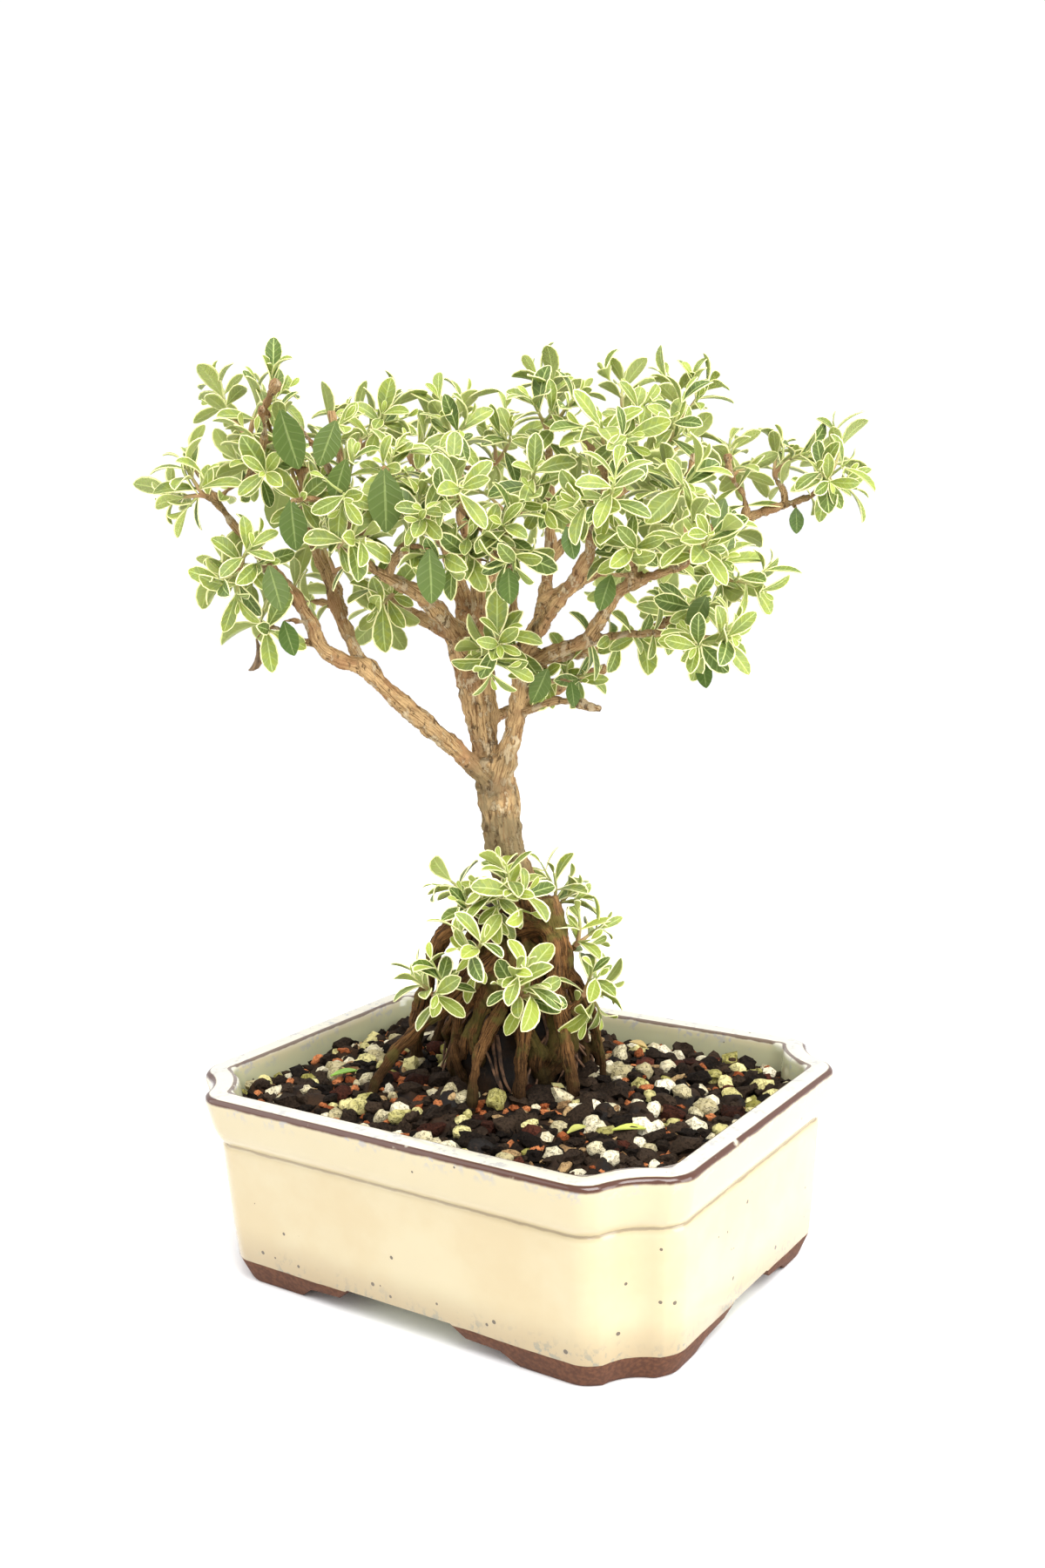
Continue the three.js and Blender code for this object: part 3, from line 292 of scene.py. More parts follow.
def cut_away(piece, cutter):
    apply_modifier(piece, "BOOLEAN", operation="DIFFERENCE", solver="EXACT", object=cutter)
    bpy.data.objects.remove(cutter)


def foot_gap(half_outline, lengthways):
    """A long block with the gap's stepped outline, to cut right through under the pot."""
    outline = half_outline + [(-x, z) for x, z in reversed(half_outline)]
    rings = []
    for end in (-POT_LENGTH, POT_LENGTH):
        points = [(end, x, z) if lengthways else (-x, end, z) for x, z in outline]
        rings.append([pot_middle + Vector(point) * MM for point in points])
    return loft("foot_gap", rings)


def finder_of(places):
    """Finds the nearest of many places."""
    finder = KDTree(len(places))
    for i, place in enumerate(places):
        finder.insert(place, i)
    finder.balance()
    return finder


def keep_mark(piece, name, values):
    """Keeps a value for each point of a piece, which its finish reads."""
    piece.data.attributes.new(name, "FLOAT", "POINT").data.foreach_set("value", values)


def mark_inset(piece):
    """Keeps how far each point of the pot lies in from the rim's outline, for the glaze."""
    rim = pot_outline(0, 0)
    finder = finder_of([
        start.lerp(end, step / RIM_STEPS)
        for start, end in zip(rim, rim[1:] + rim[:1]) for step in range(RIM_STEPS)
    ])
    insets = [finder.find((v.co.x, v.co.y, 0))[2] / MM for v in piece.data.vertices]
    keep_mark(piece, "inset", insets)


def make_glaze():
    glaze = Finish("cream glaze")
    place = glaze.place()
    height = glaze.height(place)
    inset = glaze.attribute("inset")
    cloudy = glaze.cloud(place, 38, 4)
    runs = glaze.cloud(glaze.stretched(place, (1, 1, 0.25)), 150, 5)
    body = glaze.mix(glaze.spread(cloudy, 0.35, 0.7), GLAZE_CREAM, GLAZE_PALE)
    body = glaze.over(body, GLAZE_PALE, height, 36, 44, 0, 0.7)
    # Painted shade: the glaze darkens towards the foot, where the tapered wall faces down, laid
    # over glaze that really runs a little thicker and browner there.
    body = glaze.over(body, GLAZE_THICK_AND_SHADE, height, 7, 19, 0.8, 0)
    body = glaze.over(body, GLAZE_INSIDE, inset, 6.4, 7.2)
    body = glaze.over(body, GLAZE_LIP, height, 51.5, 52.8, 0, 0.8)
    freckles = glaze.spread(glaze.cloud(place, 560, 4), 0.5, 0.6)
    pooled = glaze.times(glaze.spread(height, 7.5, 14, 1, 0), glaze.spread(runs, 0.42, 0.62))
    pooled = glaze.times(pooled, freckles)
    body = glaze.mix(glaze.times(pooled, 0.7), body, GLAZE_GREY)
    hazy = glaze.times(glaze.spread(height, 47.5, 51.5), glaze.spread(runs, 0.42, 0.58))
    hazy = glaze.times(hazy, freckles)
    body = glaze.mix(glaze.times(hazy, 0.6), body, GLAZE_BLUE)

    dots = glaze.add("ShaderNodeTexVoronoi")
    glaze.put(place, dots.inputs["Vector"])
    dots.inputs["Scale"].default_value = 270
    often = glaze.spread(height, 9, 34, 0.44, 0.58)
    size = glaze.spread(glaze.cloud(place, 160, 1), often, glaze.plus(often, 0.18), 0, 0.15)
    speck = glaze.spread(dots.outputs["Distance"], size, glaze.plus(size, 0.02), 1, 0)
    speck = glaze.times(speck, glaze.spread(size, 0.01, 0.03, 0, 0.85))
    body = glaze.mix(speck, body, PIN_SPECK)

    worn = glaze.spread(glaze.cloud(place, 160), 0.26, 0.36, 0.25, 1)

    def worn_edge(at_height, at_inset, tall, deep, strength):
        """How far the glaze has run thin, in a wandering band round one edge."""
        wander = glaze.times(glaze.minus(runs, 0.5), 1.1)
        off_height = glaze.sum("ABSOLUTE", glaze.minus(height, glaze.plus(wander, at_height)))
        off_inset = glaze.sum("ABSOLUTE", glaze.minus(inset, at_inset))
        band = glaze.times(
            glaze.spread(off_height, tall * 0.4, tall, 1, 0),
            glaze.spread(off_inset, deep * 0.5, deep, 1, 0),
        )
        return glaze.times(band, glaze.times(worn, strength))

    for edge in [worn_edge(*sizes) for sizes in WORN_EDGES]:
        body = glaze.mix(edge, body, GLAZE_BROWN)

    ragged = glaze.plus(FOOT_LINE - 0.8, glaze.times(cloudy, 1.6))
    bare = glaze.spread(height, glaze.minus(ragged, 0.15), ragged, 1, 0)
    grain = glaze.cloud(place, 900, 2)
    clay = glaze.mix(glaze.spread(grain, 0.35, 0.7), BARE_CLAY, BARE_CLAY_PALE)
    glaze.colour(glaze.mix(bare, body, clay))
    glaze.roughness(glaze.spread(bare, 0, 1, 0.14, 0.95))
    sandy = glaze.times(glaze.times(bare, grain), 0.6)
    glaze.bump(glaze.plus(sandy, cloudy), 0.25, 0.35 * MM)
    glaze.set("Coat Weight", glaze.spread(bare, 0, 1, 0.15, 0))
    glaze.set("Coat Roughness", 0.08)
    return glaze.material


pot = loft("pot_glazed", [pot_outline(inset, height) for inset, height in POT_WALL])
cut_away(pot, loft("recess", [pot_outline(RECESS_INSET, height) for height in (-1, FLOOR_UNDER)]))
cut_away(pot, foot_gap(LONG_GAP, False))
cut_away(pot, foot_gap(SHORT_GAP, True))
for side in (-1, 1):
    bpy.ops.mesh.primitive_cylinder_add(
        vertices=DRAIN_SIDES, radius=DRAIN_RADIUS * MM, depth=DRAIN_CUT * MM,
        location=pot_middle + Vector((side * DRAIN_OFFSET, 0, DRAIN_MIDDLE)) * MM,
    )
    cut_away(pot, bpy.context.object)
apply_modifier(
    pot, "BEVEL", width=EDGE_ROUNDING * MM, segments=2, limit_method="ANGLE",
    angle_limit=SMOOTH_ANGLE,
)
smooth(pot)
mark_inset(pot)
finish_piece(pot, make_glaze(), "glaze", "pot")

# Drain screens. Two squares of dark plastic mesh, cut from a sheet, that lie on the pot's floor
# over the drain holes and keep the soil in.
SCREEN_BLACK = (0.014, 0.016, 0.014, 1)
SCREEN_SCUFF = (0.05, 0.052, 0.05, 1)


def make_screen_plastic():
    plastic = Finish("dark plastic mesh")
    scuffs = plastic.cloud(plastic.place(), 700)
    plastic.colour(plastic.mix(plastic.spread(scuffs, 0.4, 0.7), SCREEN_BLACK, SCREEN_SCUFF))
    plastic.roughness(plastic.spread(scuffs, 0.3, 0.7, 0.45, 0.7))
    plastic.bump(scuffs, 0.2, 0.1 * MM)
    return plastic.material


screen_plastic = make_screen_plastic()
for screen_name in ("drain_screen_left", "drain_screen_right"):
    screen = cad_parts[screen_name]
    screen.data.materials.clear()
    screen.data.materials.append(screen_plastic)

# Soil bed. Dark, damp, crumbly mix that fills the pot to a low mound round the tree. It is
# pressed in by hand, so its top is uneven.
SOIL_EDGE = 44.5
SOIL_CELL = 1.2
CRUMB_HEIGHT = 0.9
CRUMBS_PER_METRE = 330
CRUMB_MARGIN = 1.5
CRUMB_SIZES = [(0.65, 1), (0.35, 2.7)]
SOIL_DARK = (0.008, 0.006, 0.005, 1)
SOIL_BROWN = (0.034, 0.017, 0.008, 1)
SOIL_CRUMB = (0.08, 0.045, 0.025, 1)


def copy_of(node, name):
    """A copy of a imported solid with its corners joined."""
    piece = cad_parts[node].copy()
    piece.data = piece.data.copy()
    piece.name = name
    piece.parent = None
    bpy.context.collection.objects.link(piece)
    select_only(piece)
    bpy.ops.object.mode_set(mode="EDIT")
    bpy.ops.mesh.select_all(action="SELECT")
    bpy.ops.mesh.remove_doubles(threshold=0.001 * MM)
    bpy.ops.object.mode_set(mode="OBJECT")
    return piece


def push_points(piece, depth_at):
    """Moves each point along its normal by a depth that its place gives."""
    places = [vertex.co.copy() for vertex in piece.data.vertices]
    normals = [vertex.normal.copy() for vertex in piece.data.vertices]
    moved = [place + normal * depth_at(place) for place, normal in zip(places, normals)]
    piece.data.vertices.foreach_set("co", [value for place in moved for value in place])
    piece.data.update()


def crumble(piece, reach, scale, lowest):
    """Pushes the points above a height in and out by two sizes of noise."""
    def crumb_depth(place):
        if place.z <= lowest:
            return 0
        return reach * sum(share * noise.noise(place * scale * size) for share, size in CRUMB_SIZES)

    push_points(piece, crumb_depth)


def make_soil_finish():
    soil_finish = Finish("damp soil")
    place = soil_finish.place()
    crumbs = soil_finish.cloud(place, 420, 5, 0.7)
    patches = soil_finish.cloud(place, 90)
    dark = soil_finish.mix(soil_finish.spread(patches, 0.35, 0.65), SOIL_DARK, SOIL_BROWN)
    crumb_share = soil_finish.spread(crumbs, 0.55, 0.75, 0, 0.5)
    soil_finish.colour(soil_finish.mix(crumb_share, dark, SOIL_CRUMB))
    soil_finish.roughness(soil_finish.spread(patches, 0.3, 0.7, 0.6, 0.9))
    soil_finish.bump(crumbs, 0.7, 0.8 * MM)
    soil_finish.set("Specular IOR Level", 0.15)
    return soil_finish.material


soil_material = make_soil_finish()
soil = copy_of("soil", "soil_bed")
apply_modifier(soil, "REMESH", mode="VOXEL", voxel_size=SOIL_CELL * MM)
apply_modifier(soil, "SMOOTH", factor=0.6, iterations=4)
crumble(soil, CRUMB_HEIGHT * MM, CRUMBS_PER_METRE, (SOIL_EDGE - CRUMB_MARGIN) * MM)
smooth(soil)
finish_piece(soil, soil_material, "soil", "soil")

# Grit. Loose lumps of charred bark, white and stained pumice, red and orange lava and tan
# chips cover the soil. Each is a broken, uneven stone, pressed a little into what is under it.
SOIL_RISE = 3.5
SOIL_FALL = 0.75
GRIT_VALUES = ("name", "count", "size", "shape", "rough", "grain", "clear", "colours")
GRIT = [dict(zip(GRIT_VALUES, row)) for row in (
    ("grit_pumice", 112, (2.3, 6.2), (1.15, 0.95, 0.8), 0.28, 700, 21,
     [(0.40, 0.34, 0.18, 1), (0.80, 0.73, 0.54, 1)]),
    ("grit_stained", 84, (2.2, 5.8), (1.2, 0.95, 0.8), 0.28, 600, 19,
     [(0.20, 0.18, 0.04, 1), (0.68, 0.61, 0.28, 1)]),
    ("grit_red_lava", 26, (2.8, 6.2), (1.2, 0.95, 0.8), 0.36, 1100, 17,
     [(0.018, 0.006, 0.003, 1), (0.085, 0.024, 0.014, 1)]),
    ("grit_orange_lava", 170, (1.3, 3.3), (1.35, 0.9, 0.7), 0.34, 1100, 16,
     [(0.22, 0.05, 0.014, 1), (0.56, 0.20, 0.075, 1)]),
    ("grit_bark", 520, (2.2, 7.0), (1.35, 0.95, 0.7), 0.42, 900, 15,
     [(0.005, 0.003, 0.002, 1), (0.038, 0.024, 0.015, 1)]),
    ("grit_tan", 150, (1.3, 4.0), (1.6, 0.8, 0.5), 0.34, 800, 16,
     [(0.16, 0.085, 0.036, 1), (0.46, 0.31, 0.15, 1)]),
)]
GRIT_SEED = 5
GRIT_TRIES = 26
GRIT_SPACING = 0.74
GRIT_FROM_WALL = 8.2
GRIT_SINK = 0.16
GRIT_CORNER = 1.78
GRIT_SMOOTHING = math.radians(44)
NOISE_REACH = 90
STONE_STRETCH = (0.85, 1.15)
STONE_TILT = 0.4
STONE_LUMPS = [(1.4, 1.3), (3.6, 1.2)]
DROP_HEIGHT = 70
TREE_AT = Vector((-6, 8, 0))


def soil_height(point):
    """Height of the mound, highest round the tree."""
    out = max(abs(point.x - pot_middle.x) / (POT_LENGTH / 2 * MM),
              abs(point.y - pot_middle.y) / (POT_WIDTH / 2 * MM))
    return (SOIL_EDGE + SOIL_RISE * (1 - out * out) / SOIL_FALL) * MM


def shaped_primitive(make, thickness=0.0, **settings):
    """Points and faces of a primitive that is shaped further and repeated."""
    bpy.ops.object.select_all(action="DESELECT")
    make(**settings)
    start = bpy.context.object
    if thickness:
        apply_modifier(start, "SOLIDIFY", thickness=thickness, offset=-1)
    points = np.array([tuple(v.co) for v in start.data.vertices])
    faces = [tuple(p.vertices) for p in start.data.polygons]
    bpy.data.objects.remove(start)
    return points, faces


class Heap:
    """Many like shapes gathered into one mesh, with a value or more kept for each point."""

    def __init__(self):
        self.points = []
        self.faces = []
        self.marks = {}

    def add(self, points, faces, **marks):
        start = len(self.points)
        self.points.extend(points)
        self.faces.extend(tuple(start + i for i in face) for face in faces)
        for name, values in marks.items():
            held = self.marks.setdefault(name, [])
            held.extend(values if np.ndim(values) else [values] * len(points))

    def piece(self, name):
        made = new_piece(name, self.points, self.faces)
        for mark, values in self.marks.items():
            keep_mark(made, mark, values)
        return made


def broken_stone(points, kind, size, draw):
    """The round start, stretched and broken by noise that differs for each stone."""
    start = Vector([draw.uniform(0, NOISE_REACH) for _ in range(3)])
    stretch = [side * draw.uniform(*STONE_STRETCH) for side in kind["shape"]]
    tilt = Vector([draw.uniform(-STONE_TILT, STONE_TILT) for _ in range(2)] + [1]).normalized()
    turn = Quaternion(tilt, draw.uniform(0, math.tau))
    stone = []
    for point in points:
        way = Vector(point).normalized()
        swell = sum(noise.noise(way * scale + start) * share for scale, share in STONE_LUMPS)
        lump = way * 0.5 * size * (1 + kind["rough"] * swell)
        stone.append(turn @ Vector((a * b for a, b in zip(lump, stretch))))
    return stone


def make_grit_finish(kind):
    grit = Finish(kind["name"].replace("_", " "))
    place = grit.place()
    fine = grit.cloud(place, kind["grain"], 4, 0.65)
    tone = grit.plus(grit.times(fine, 0.7), grit.times(grit.attribute("tone"), 0.6))
    grit.colour(grit.mix(grit.spread(tone, 0.3, 0.95), *kind["colours"]))
    grit.roughness(0.85)
    holes = grit.cloud(place, kind["grain"] * 1.6, 2)
    grit.bump(grit.plus(fine, grit.spread(holes, 0.36, 0.46)), 1.0, 0.7 * MM)
    grit.set("Specular IOR Level", 0.1)
    return grit.material


def scatter_grit():
    """Drops each kind of stone on free places, the rarer kinds before the bark."""
    draw = random.Random(GRIT_SEED)
    lump_points, lump_faces = shaped_primitive(
        bpy.ops.mesh.primitive_ico_sphere_add, subdivisions=2, radius=1,
    )
    ground = BVHTree.FromPolygons(
        [v.co.copy() for v in soil.data.vertices], [tuple(p.vertices) for p in soil.data.polygons],
    )
    half_length = POT_LENGTH / 2 - GRIT_FROM_WALL
    half_width = POT_WIDTH / 2 - GRIT_FROM_WALL
    taken = []
    for kind in GRIT:
        heap = Heap()
        placed = 0
        for _ in range(kind["count"] * GRIT_TRIES):
            if placed == kind["count"]:
                break
            size = draw.uniform(*kind["size"])
            x = draw.uniform(-1, 1) * (half_length - size / 2)
            y = draw.uniform(-1, 1) * (half_width - size / 2)
            if abs(x) / half_length + abs(y) / half_width > GRIT_CORNER:
                continue
            if math.hypot(x - TREE_AT.x, y - TREE_AT.y) < kind["clear"]:
                continue
            if any(
                math.hypot(x - a, y - b) < (size + other) * GRIT_SPACING / 2
                for a, b, other in taken
            ):
                continue
            over = pot_middle + Vector((x, y, DROP_HEIGHT)) * MM
            hit = ground.ray_cast(over, Vector((0, 0, -1)))[0]
            if hit is None:
                continue
            floor_height = min(hit.z, soil_height(hit) + CRUMB_MARGIN * MM)
            rest = Vector((hit.x, hit.y, floor_height + size * GRIT_SINK * MM))
            stone = [rest + point * MM for point in broken_stone(lump_points, kind, size, draw)]
            heap.add(stone, lump_faces, tone=draw.random())
            taken.append((x, y, size))
            placed += 1
        grit = heap.piece(kind["name"])
        smooth(grit, GRIT_SMOOTHING)
        finish_piece(grit, make_grit_finish(kind), "soil")


scatter_grit()

# Wood. An old trunk on arched bare roots, forked low into several stems and pruned back year by
# year. Trunk, stems, limbs and roots have grown as one piece.
TREE_TURN = Quaternion((0, 0, 1), math.radians(34.3))
WAY_STEP = 1.0
TUBE_SIDES = 3
ROOT_BALL = [
    [17, 32], [19, 44], [19, 52], [17.5, 60], [15.5, 68], [13.5, 76], [11, 84], [8.5, 91], [6, 99],
]
BALL_WAVES = [(0.1, 4, 1.3), (0.07, 5, -1.9)]
LIMBS = {
    "trunk": ([(4, -1, 82), (3, -1, 93), (2, 0, 103), (0, 0, 111), (-1, 0, 118), (-2, 0, 129),
     (-3, 0, 138)], [6.6, 5.8, 5.4, 5.1, 5.0, 5.3, 5.2]),
    "main stem": ([(-3, 0, 130), (-5, 0, 142), (-6, 1, 153), (-7, 2, 160), (-9, 3, 170)],
     [3.6, 3.5, 4.5, 4.9, 5.6]),
    "right stem": ([(-1, -2, 130), (2, -4, 142), (5, -6, 153), (6, -8, 162), (6, -8, 168)],
     [3.1, 2.7, 2.4, 2.5, 3.2]),
    "left arm": ([(-3, -1, 130), (-10, -6, 138), (-17, -10, 146), (-27, -14, 155),
     (-36, -16, 165)], [2.6, 2.3, 2.2, 2.3]),
    "left outer": ([(-35, -16, 164), (-45, -18, 169), (-48, -16, 175), (-53, -14, 183),
     (-61, -10, 193), (-66, -8, 199), (-72, -6, 207), (-77, -4, 215)], [2.0, 1.8, 1.5, 1.2, 1.0]),
    "left inner": ([(-35, -15, 163), (-41, -10, 176), (-45, -4, 187), (-49, 0, 197), (-51, 2, 209),
     (-51, 2, 216)], [1.8, 1.6, 1.3, 1.0]),
    "left low twig": ([(-46, -17, 170), (-53, -14, 172), (-59, -11, 175)], [1.0, 0.8]),
    "left back": ([(-39, -12, 172), (-44, 8, 183), (-49, 22, 193), (-52, 34, 203)],
     [1.6, 1.4, 1.1]),
    "low left arm": ([(-9, 3, 168), (-13, -6, 174), (-18, -12, 180), (-24, -18, 185),
     (-31, -22, 189), (-35, -22, 193)], [2.9, 2.3, 1.7, 1.3]),
    "pruned stub": ([(-10, 2, 170), (-16, 0, 173), (-23, 4, 177), (-28, 6, 179)], [2.4, 1.8, 1.6]),
    "middle left": ([(-9, 3, 168), (-9, 8, 177), (-12, 14, 188), (-16, 20, 199), (-19, 24, 211)],
     [3.2, 2.3, 1.7, 1.2]),
    "middle back": ([(-7, 5, 166), (-5, 18, 177), (-1, 28, 188), (1, 36, 199)], [2.9, 2.1, 1.5]),
    "middle front": ([(-7, -2, 162), (0, -12, 171), (4, -18, 177), (4, -23, 186)],
     [1.7, 1.3, 1.0]),
    "crown": ([(-8, 3, 168), (-5, 4, 178), (-6, 2, 190), (-9, 0, 202), (-9, -3, 213)],
     [2.8, 2.0, 1.5, 1.1]),
    "front right": ([(5, -7, 164), (9, -14, 170), (13, -22, 176), (18, -30, 183), (23, -36, 191),
     (24, -39, 197)], [2.3, 2.0, 1.7, 1.5]),
    "right arm": ([(5, -7, 160), (14, -12, 166), (22, -16, 169), (26, -22, 174), (30, -28, 181),
     (37, -34, 185), (44, -38, 187)], [2.2, 1.9, 1.6, 1.2]),
    "right back": ([(5, -6, 165), (11, 8, 174), (14, 20, 186), (15, 22, 200), (15, 16, 212)],
     [2.3, 1.9, 1.5, 1.1]),
    "right low": ([(13, -11, 165), (30, 4, 166), (40, 8, 170), (46, 5, 172)], [1.5, 1.3, 1.0]),
    "lower right": ([(-4, 1, 147), (3, 8, 150), (14, 10, 154), (20, 10, 157), (29, 8, 160)],
     [1.9, 1.5, 1.3]),
    "far right": ([(12, 12, 178), (32, 24, 188), (47, 28, 195), (66, 28, 198), (77, 26, 202),
     (88, 24, 205)], [1.9, 1.5, 1.2, 1.0]),
    "upper right": ([(14, 20, 189), (27, 30, 203), (42, 32, 213), (50, 26, 221)], [1.5, 1.2, 1.0]),
    "front twig": ([(19, -31, 184), (26, -28, 196), (28, -25, 208)], [1.1, 0.9]),
}
ROOTS = [
    ([(0, -2, 91), (-6, -6, 94), (-12, -9, 94), (-18, -8, 90), (-21, -4, 82), (-24, 1, 72),
     (-27, 5, 61), (-28, 8, 42)], [2.6, 2.3, 2.0, 2.2, 1.8]),
    ([(-4, -10, 84), (-14, -14, 75), (-22, -13, 69), (-28, -13, 63), (-33, -14, 58),
     (-38, -16, 50), (-42, -18, 40)], [2.6, 2.3, 1.9, 1.6, 1.2]),
    ([(1, -13, 78), (-4, -20, 70), (-8, -25, 64), (-10, -28, 58), (-11, -29, 40)],
     [2.2, 1.7, 1.4, 1.4]),
    ([(2, -11, 82), (4, -19, 72), (3, -24, 64), (2, -27, 56), (2, -28, 40)], [2.4, 1.9, 1.6, 1.5]),
    ([(5, -7, 88), (11, -15, 82), (13, -19, 72), (15, -23, 60), (17, -26, 40)],
     [2.3, 2.0, 1.7, 1.4]),
    ([(6, -2, 89), (13, -5, 82), (20, -5, 70), (23, -4, 58), (25, -3, 40)], [2.2, 1.8, 1.5, 1.3]),
    ([(5, 4, 90), (12, 9, 80), (17, 14, 68), (20, 19, 56), (21, 22, 40)], [2.4, 2.0, 1.6, 1.4]),
    ([(1, 6, 92), (0, 14, 80), (-2, 20, 67), (-3, 25, 55), (-4, 27, 40)], [2.4, 2.1, 1.7, 1.4]),
    ([(-4, 4, 91), (-11, 10, 79), (-16, 16, 67), (-21, 21, 55), (-25, 24, 40)],
     [2.3, 1.9, 1.5, 1.3]),
    ([(3, -6, 90), (10, -13, 92), (12, -16, 86), (11, -18, 74)], [2.0, 2.3, 1.6]),
    ([(4, 0, 84), (10, -1, 91), (11, -1, 97)], [2.6, 2.2, 1.8]),
]
STUMPS = [
    ([(14, -9, 76), (13, -12, 88), (10.8, -13, 101)], [3.9, 3.2, 2.6]),
    ([(-6.5, -9, 165), (-10, -12.5, 169)], [3.6, 2.4]),
]
AERIAL_ROOT = ([(7, -5, 84), (18, -11, 78), (22, -13, 70), (24, -14, 60), (25, -14, 40)], [1, 0.8])
GRAIN_SHIFT = 0.37
OLD_ROOT_COUNT = 44
OLD_ROOT_SEED = 3
OLD_ROOT_SWING = 0.7
OLD_ROOT_TOP = (66, 97)
OLD_ROOT_DROP = (14, 34)
OLD_ROOT_LOWEST = 48
OLD_ROOT_ARCH = (1.2, 3.0)
OLD_ROOT_SUNK = 1.0
OLD_ROOT_RADII = [(1.0, 2.1), (1.2, 2.4), (0.7, 1.4)]
ROOT_WANDER = 0.06


def tree_point(point):
    """A place in the tree's own frame, in millimetres, as a point of the model."""
    return pot_middle + (TREE_TURN @ Vector(point) + TREE_AT) * MM


def smooth_way(points):
    """Points about a millimetre apart along an even curve through the given ones."""
    points = [np.array(point, float) for point in points]
    ends = [2 * points[0] - points[1], *points, 2 * points[-1] - points[-2]]
    way = []
    for before, start, end, after in zip(ends, ends[1:], ends[2:], ends[3:]):
        first, middle, last = (
            max(np.linalg.norm(b - a), 1e-4) ** 0.5
            for a, b in ((before, start), (start, end), (end, after))
        )
        chord = (end - start) / middle
        leave = (start - before) / first - (end - before) / (first + middle) + chord
        arrive = chord - (after - start) / (middle + last) + (after - end) / last
        leave, arrive = leave * middle, arrive * middle
        count = max(1, round(np.linalg.norm(end - start) / WAY_STEP))
        for t in np.arange(count) / count:
            way.append(start + leave * t + (3 * (end - start) - 2 * leave - arrive) * t ** 2
                       + (2 * (start - end) + leave + arrive) * t ** 3)
    return np.array([*way, points[-1]])


def lengths_along(way):
    return np.concatenate([[0], np.cumsum(np.linalg.norm(np.diff(way, axis=0), axis=1))])


def radii_along(way, radii):
    lengths = lengths_along(way)
    return np.interp(lengths / lengths[-1], np.linspace(0, 1, len(radii)), radii)


class Wood:
    """All the tubes of the tree, and where their middles run."""

    def __init__(self):
        self.curve = bpy.data.curves.new("wood", "CURVE")
        self.curve.dimensions = "3D"
        self.curve.bevel_depth = MM
        self.curve.bevel_resolution = TUBE_SIDES
        self.curve.use_fill_caps = True
        self.samples = []

    def add(self, way, radii):
        """A round tube along a way in the tree's own frame."""
        thickness = radii_along(way, radii)
        lengths = lengths_along(way)
        middle = [tree_point(point) for point in way]
        spline = self.curve.splines.new("POLY")
        spline.points.add(len(middle) - 1)
        for point, place, radius in zip(spline.points, middle, thickness):
            point.co = (*place, 1)
            point.radius = radius
        offset = len(self.samples) * GRAIN_SHIFT
        for i, place in enumerate(middle):
            tangent = (middle[min(i + 1, len(middle) - 1)] - middle[max(i - 1, 0)]).normalized()
            self.samples.append((place, tangent, thickness[i] * MM, lengths[i] + offset))

    def mesh(self, name):
        piece = bpy.data.objects.new(name, self.curve)
        bpy.context.collection.objects.link(piece)
        select_only(piece)
        bpy.ops.object.convert(target="MESH")
        return bpy.context.object


def ball_point(angle, height, extra=0.0):
    """A place over the root ball, which swells and shrinks all the way round."""
    heights = [level for _, level in ROOT_BALL]
    step = np.interp(height, heights, range(len(heights)))
    wave = sum(deep * math.sin(turns * angle + step * shift) for deep, turns, shift in BALL_WAVES)
    radius = np.interp(height, heights, [radius for radius, _ in ROOT_BALL])
    reach = radius * (1 + wave * min(1, max(0, step - 1))) + extra
    return (math.cos(angle) * reach, math.sin(angle) * reach, height)


def old_roots():
    """Old roots that arch out of the ball and grow back into it, one over the other."""
    draw = random.Random(OLD_ROOT_SEED)
    for _ in range(OLD_ROOT_COUNT):
        angle = draw.uniform(0, math.tau)
        swing = draw.uniform(-OLD_ROOT_SWING, OLD_ROOT_SWING)
        top = draw.uniform(*OLD_ROOT_TOP)
        bottom = max(OLD_ROOT_LOWEST, top - draw.uniform(*OLD_ROOT_DROP))
        arch = draw.uniform(*OLD_ROOT_ARCH)
        way = [
            ball_point(
                angle + swing * t + draw.uniform(-ROOT_WANDER, ROOT_WANDER),
                top + (bottom - top) * t, math.sin(math.pi * t) * arch - OLD_ROOT_SUNK,
            )
            for t in (0, 0.2, 0.4, 0.6, 0.8, 1)
        ]
        yield way, [draw.uniform(*limits) for limits in OLD_ROOT_RADII]


wood = Wood()
for middle, radii in [*LIMBS.values(), *ROOTS, *STUMPS, AERIAL_ROOT, *old_roots()]:
    wood.add(smooth_way(middle), radii)

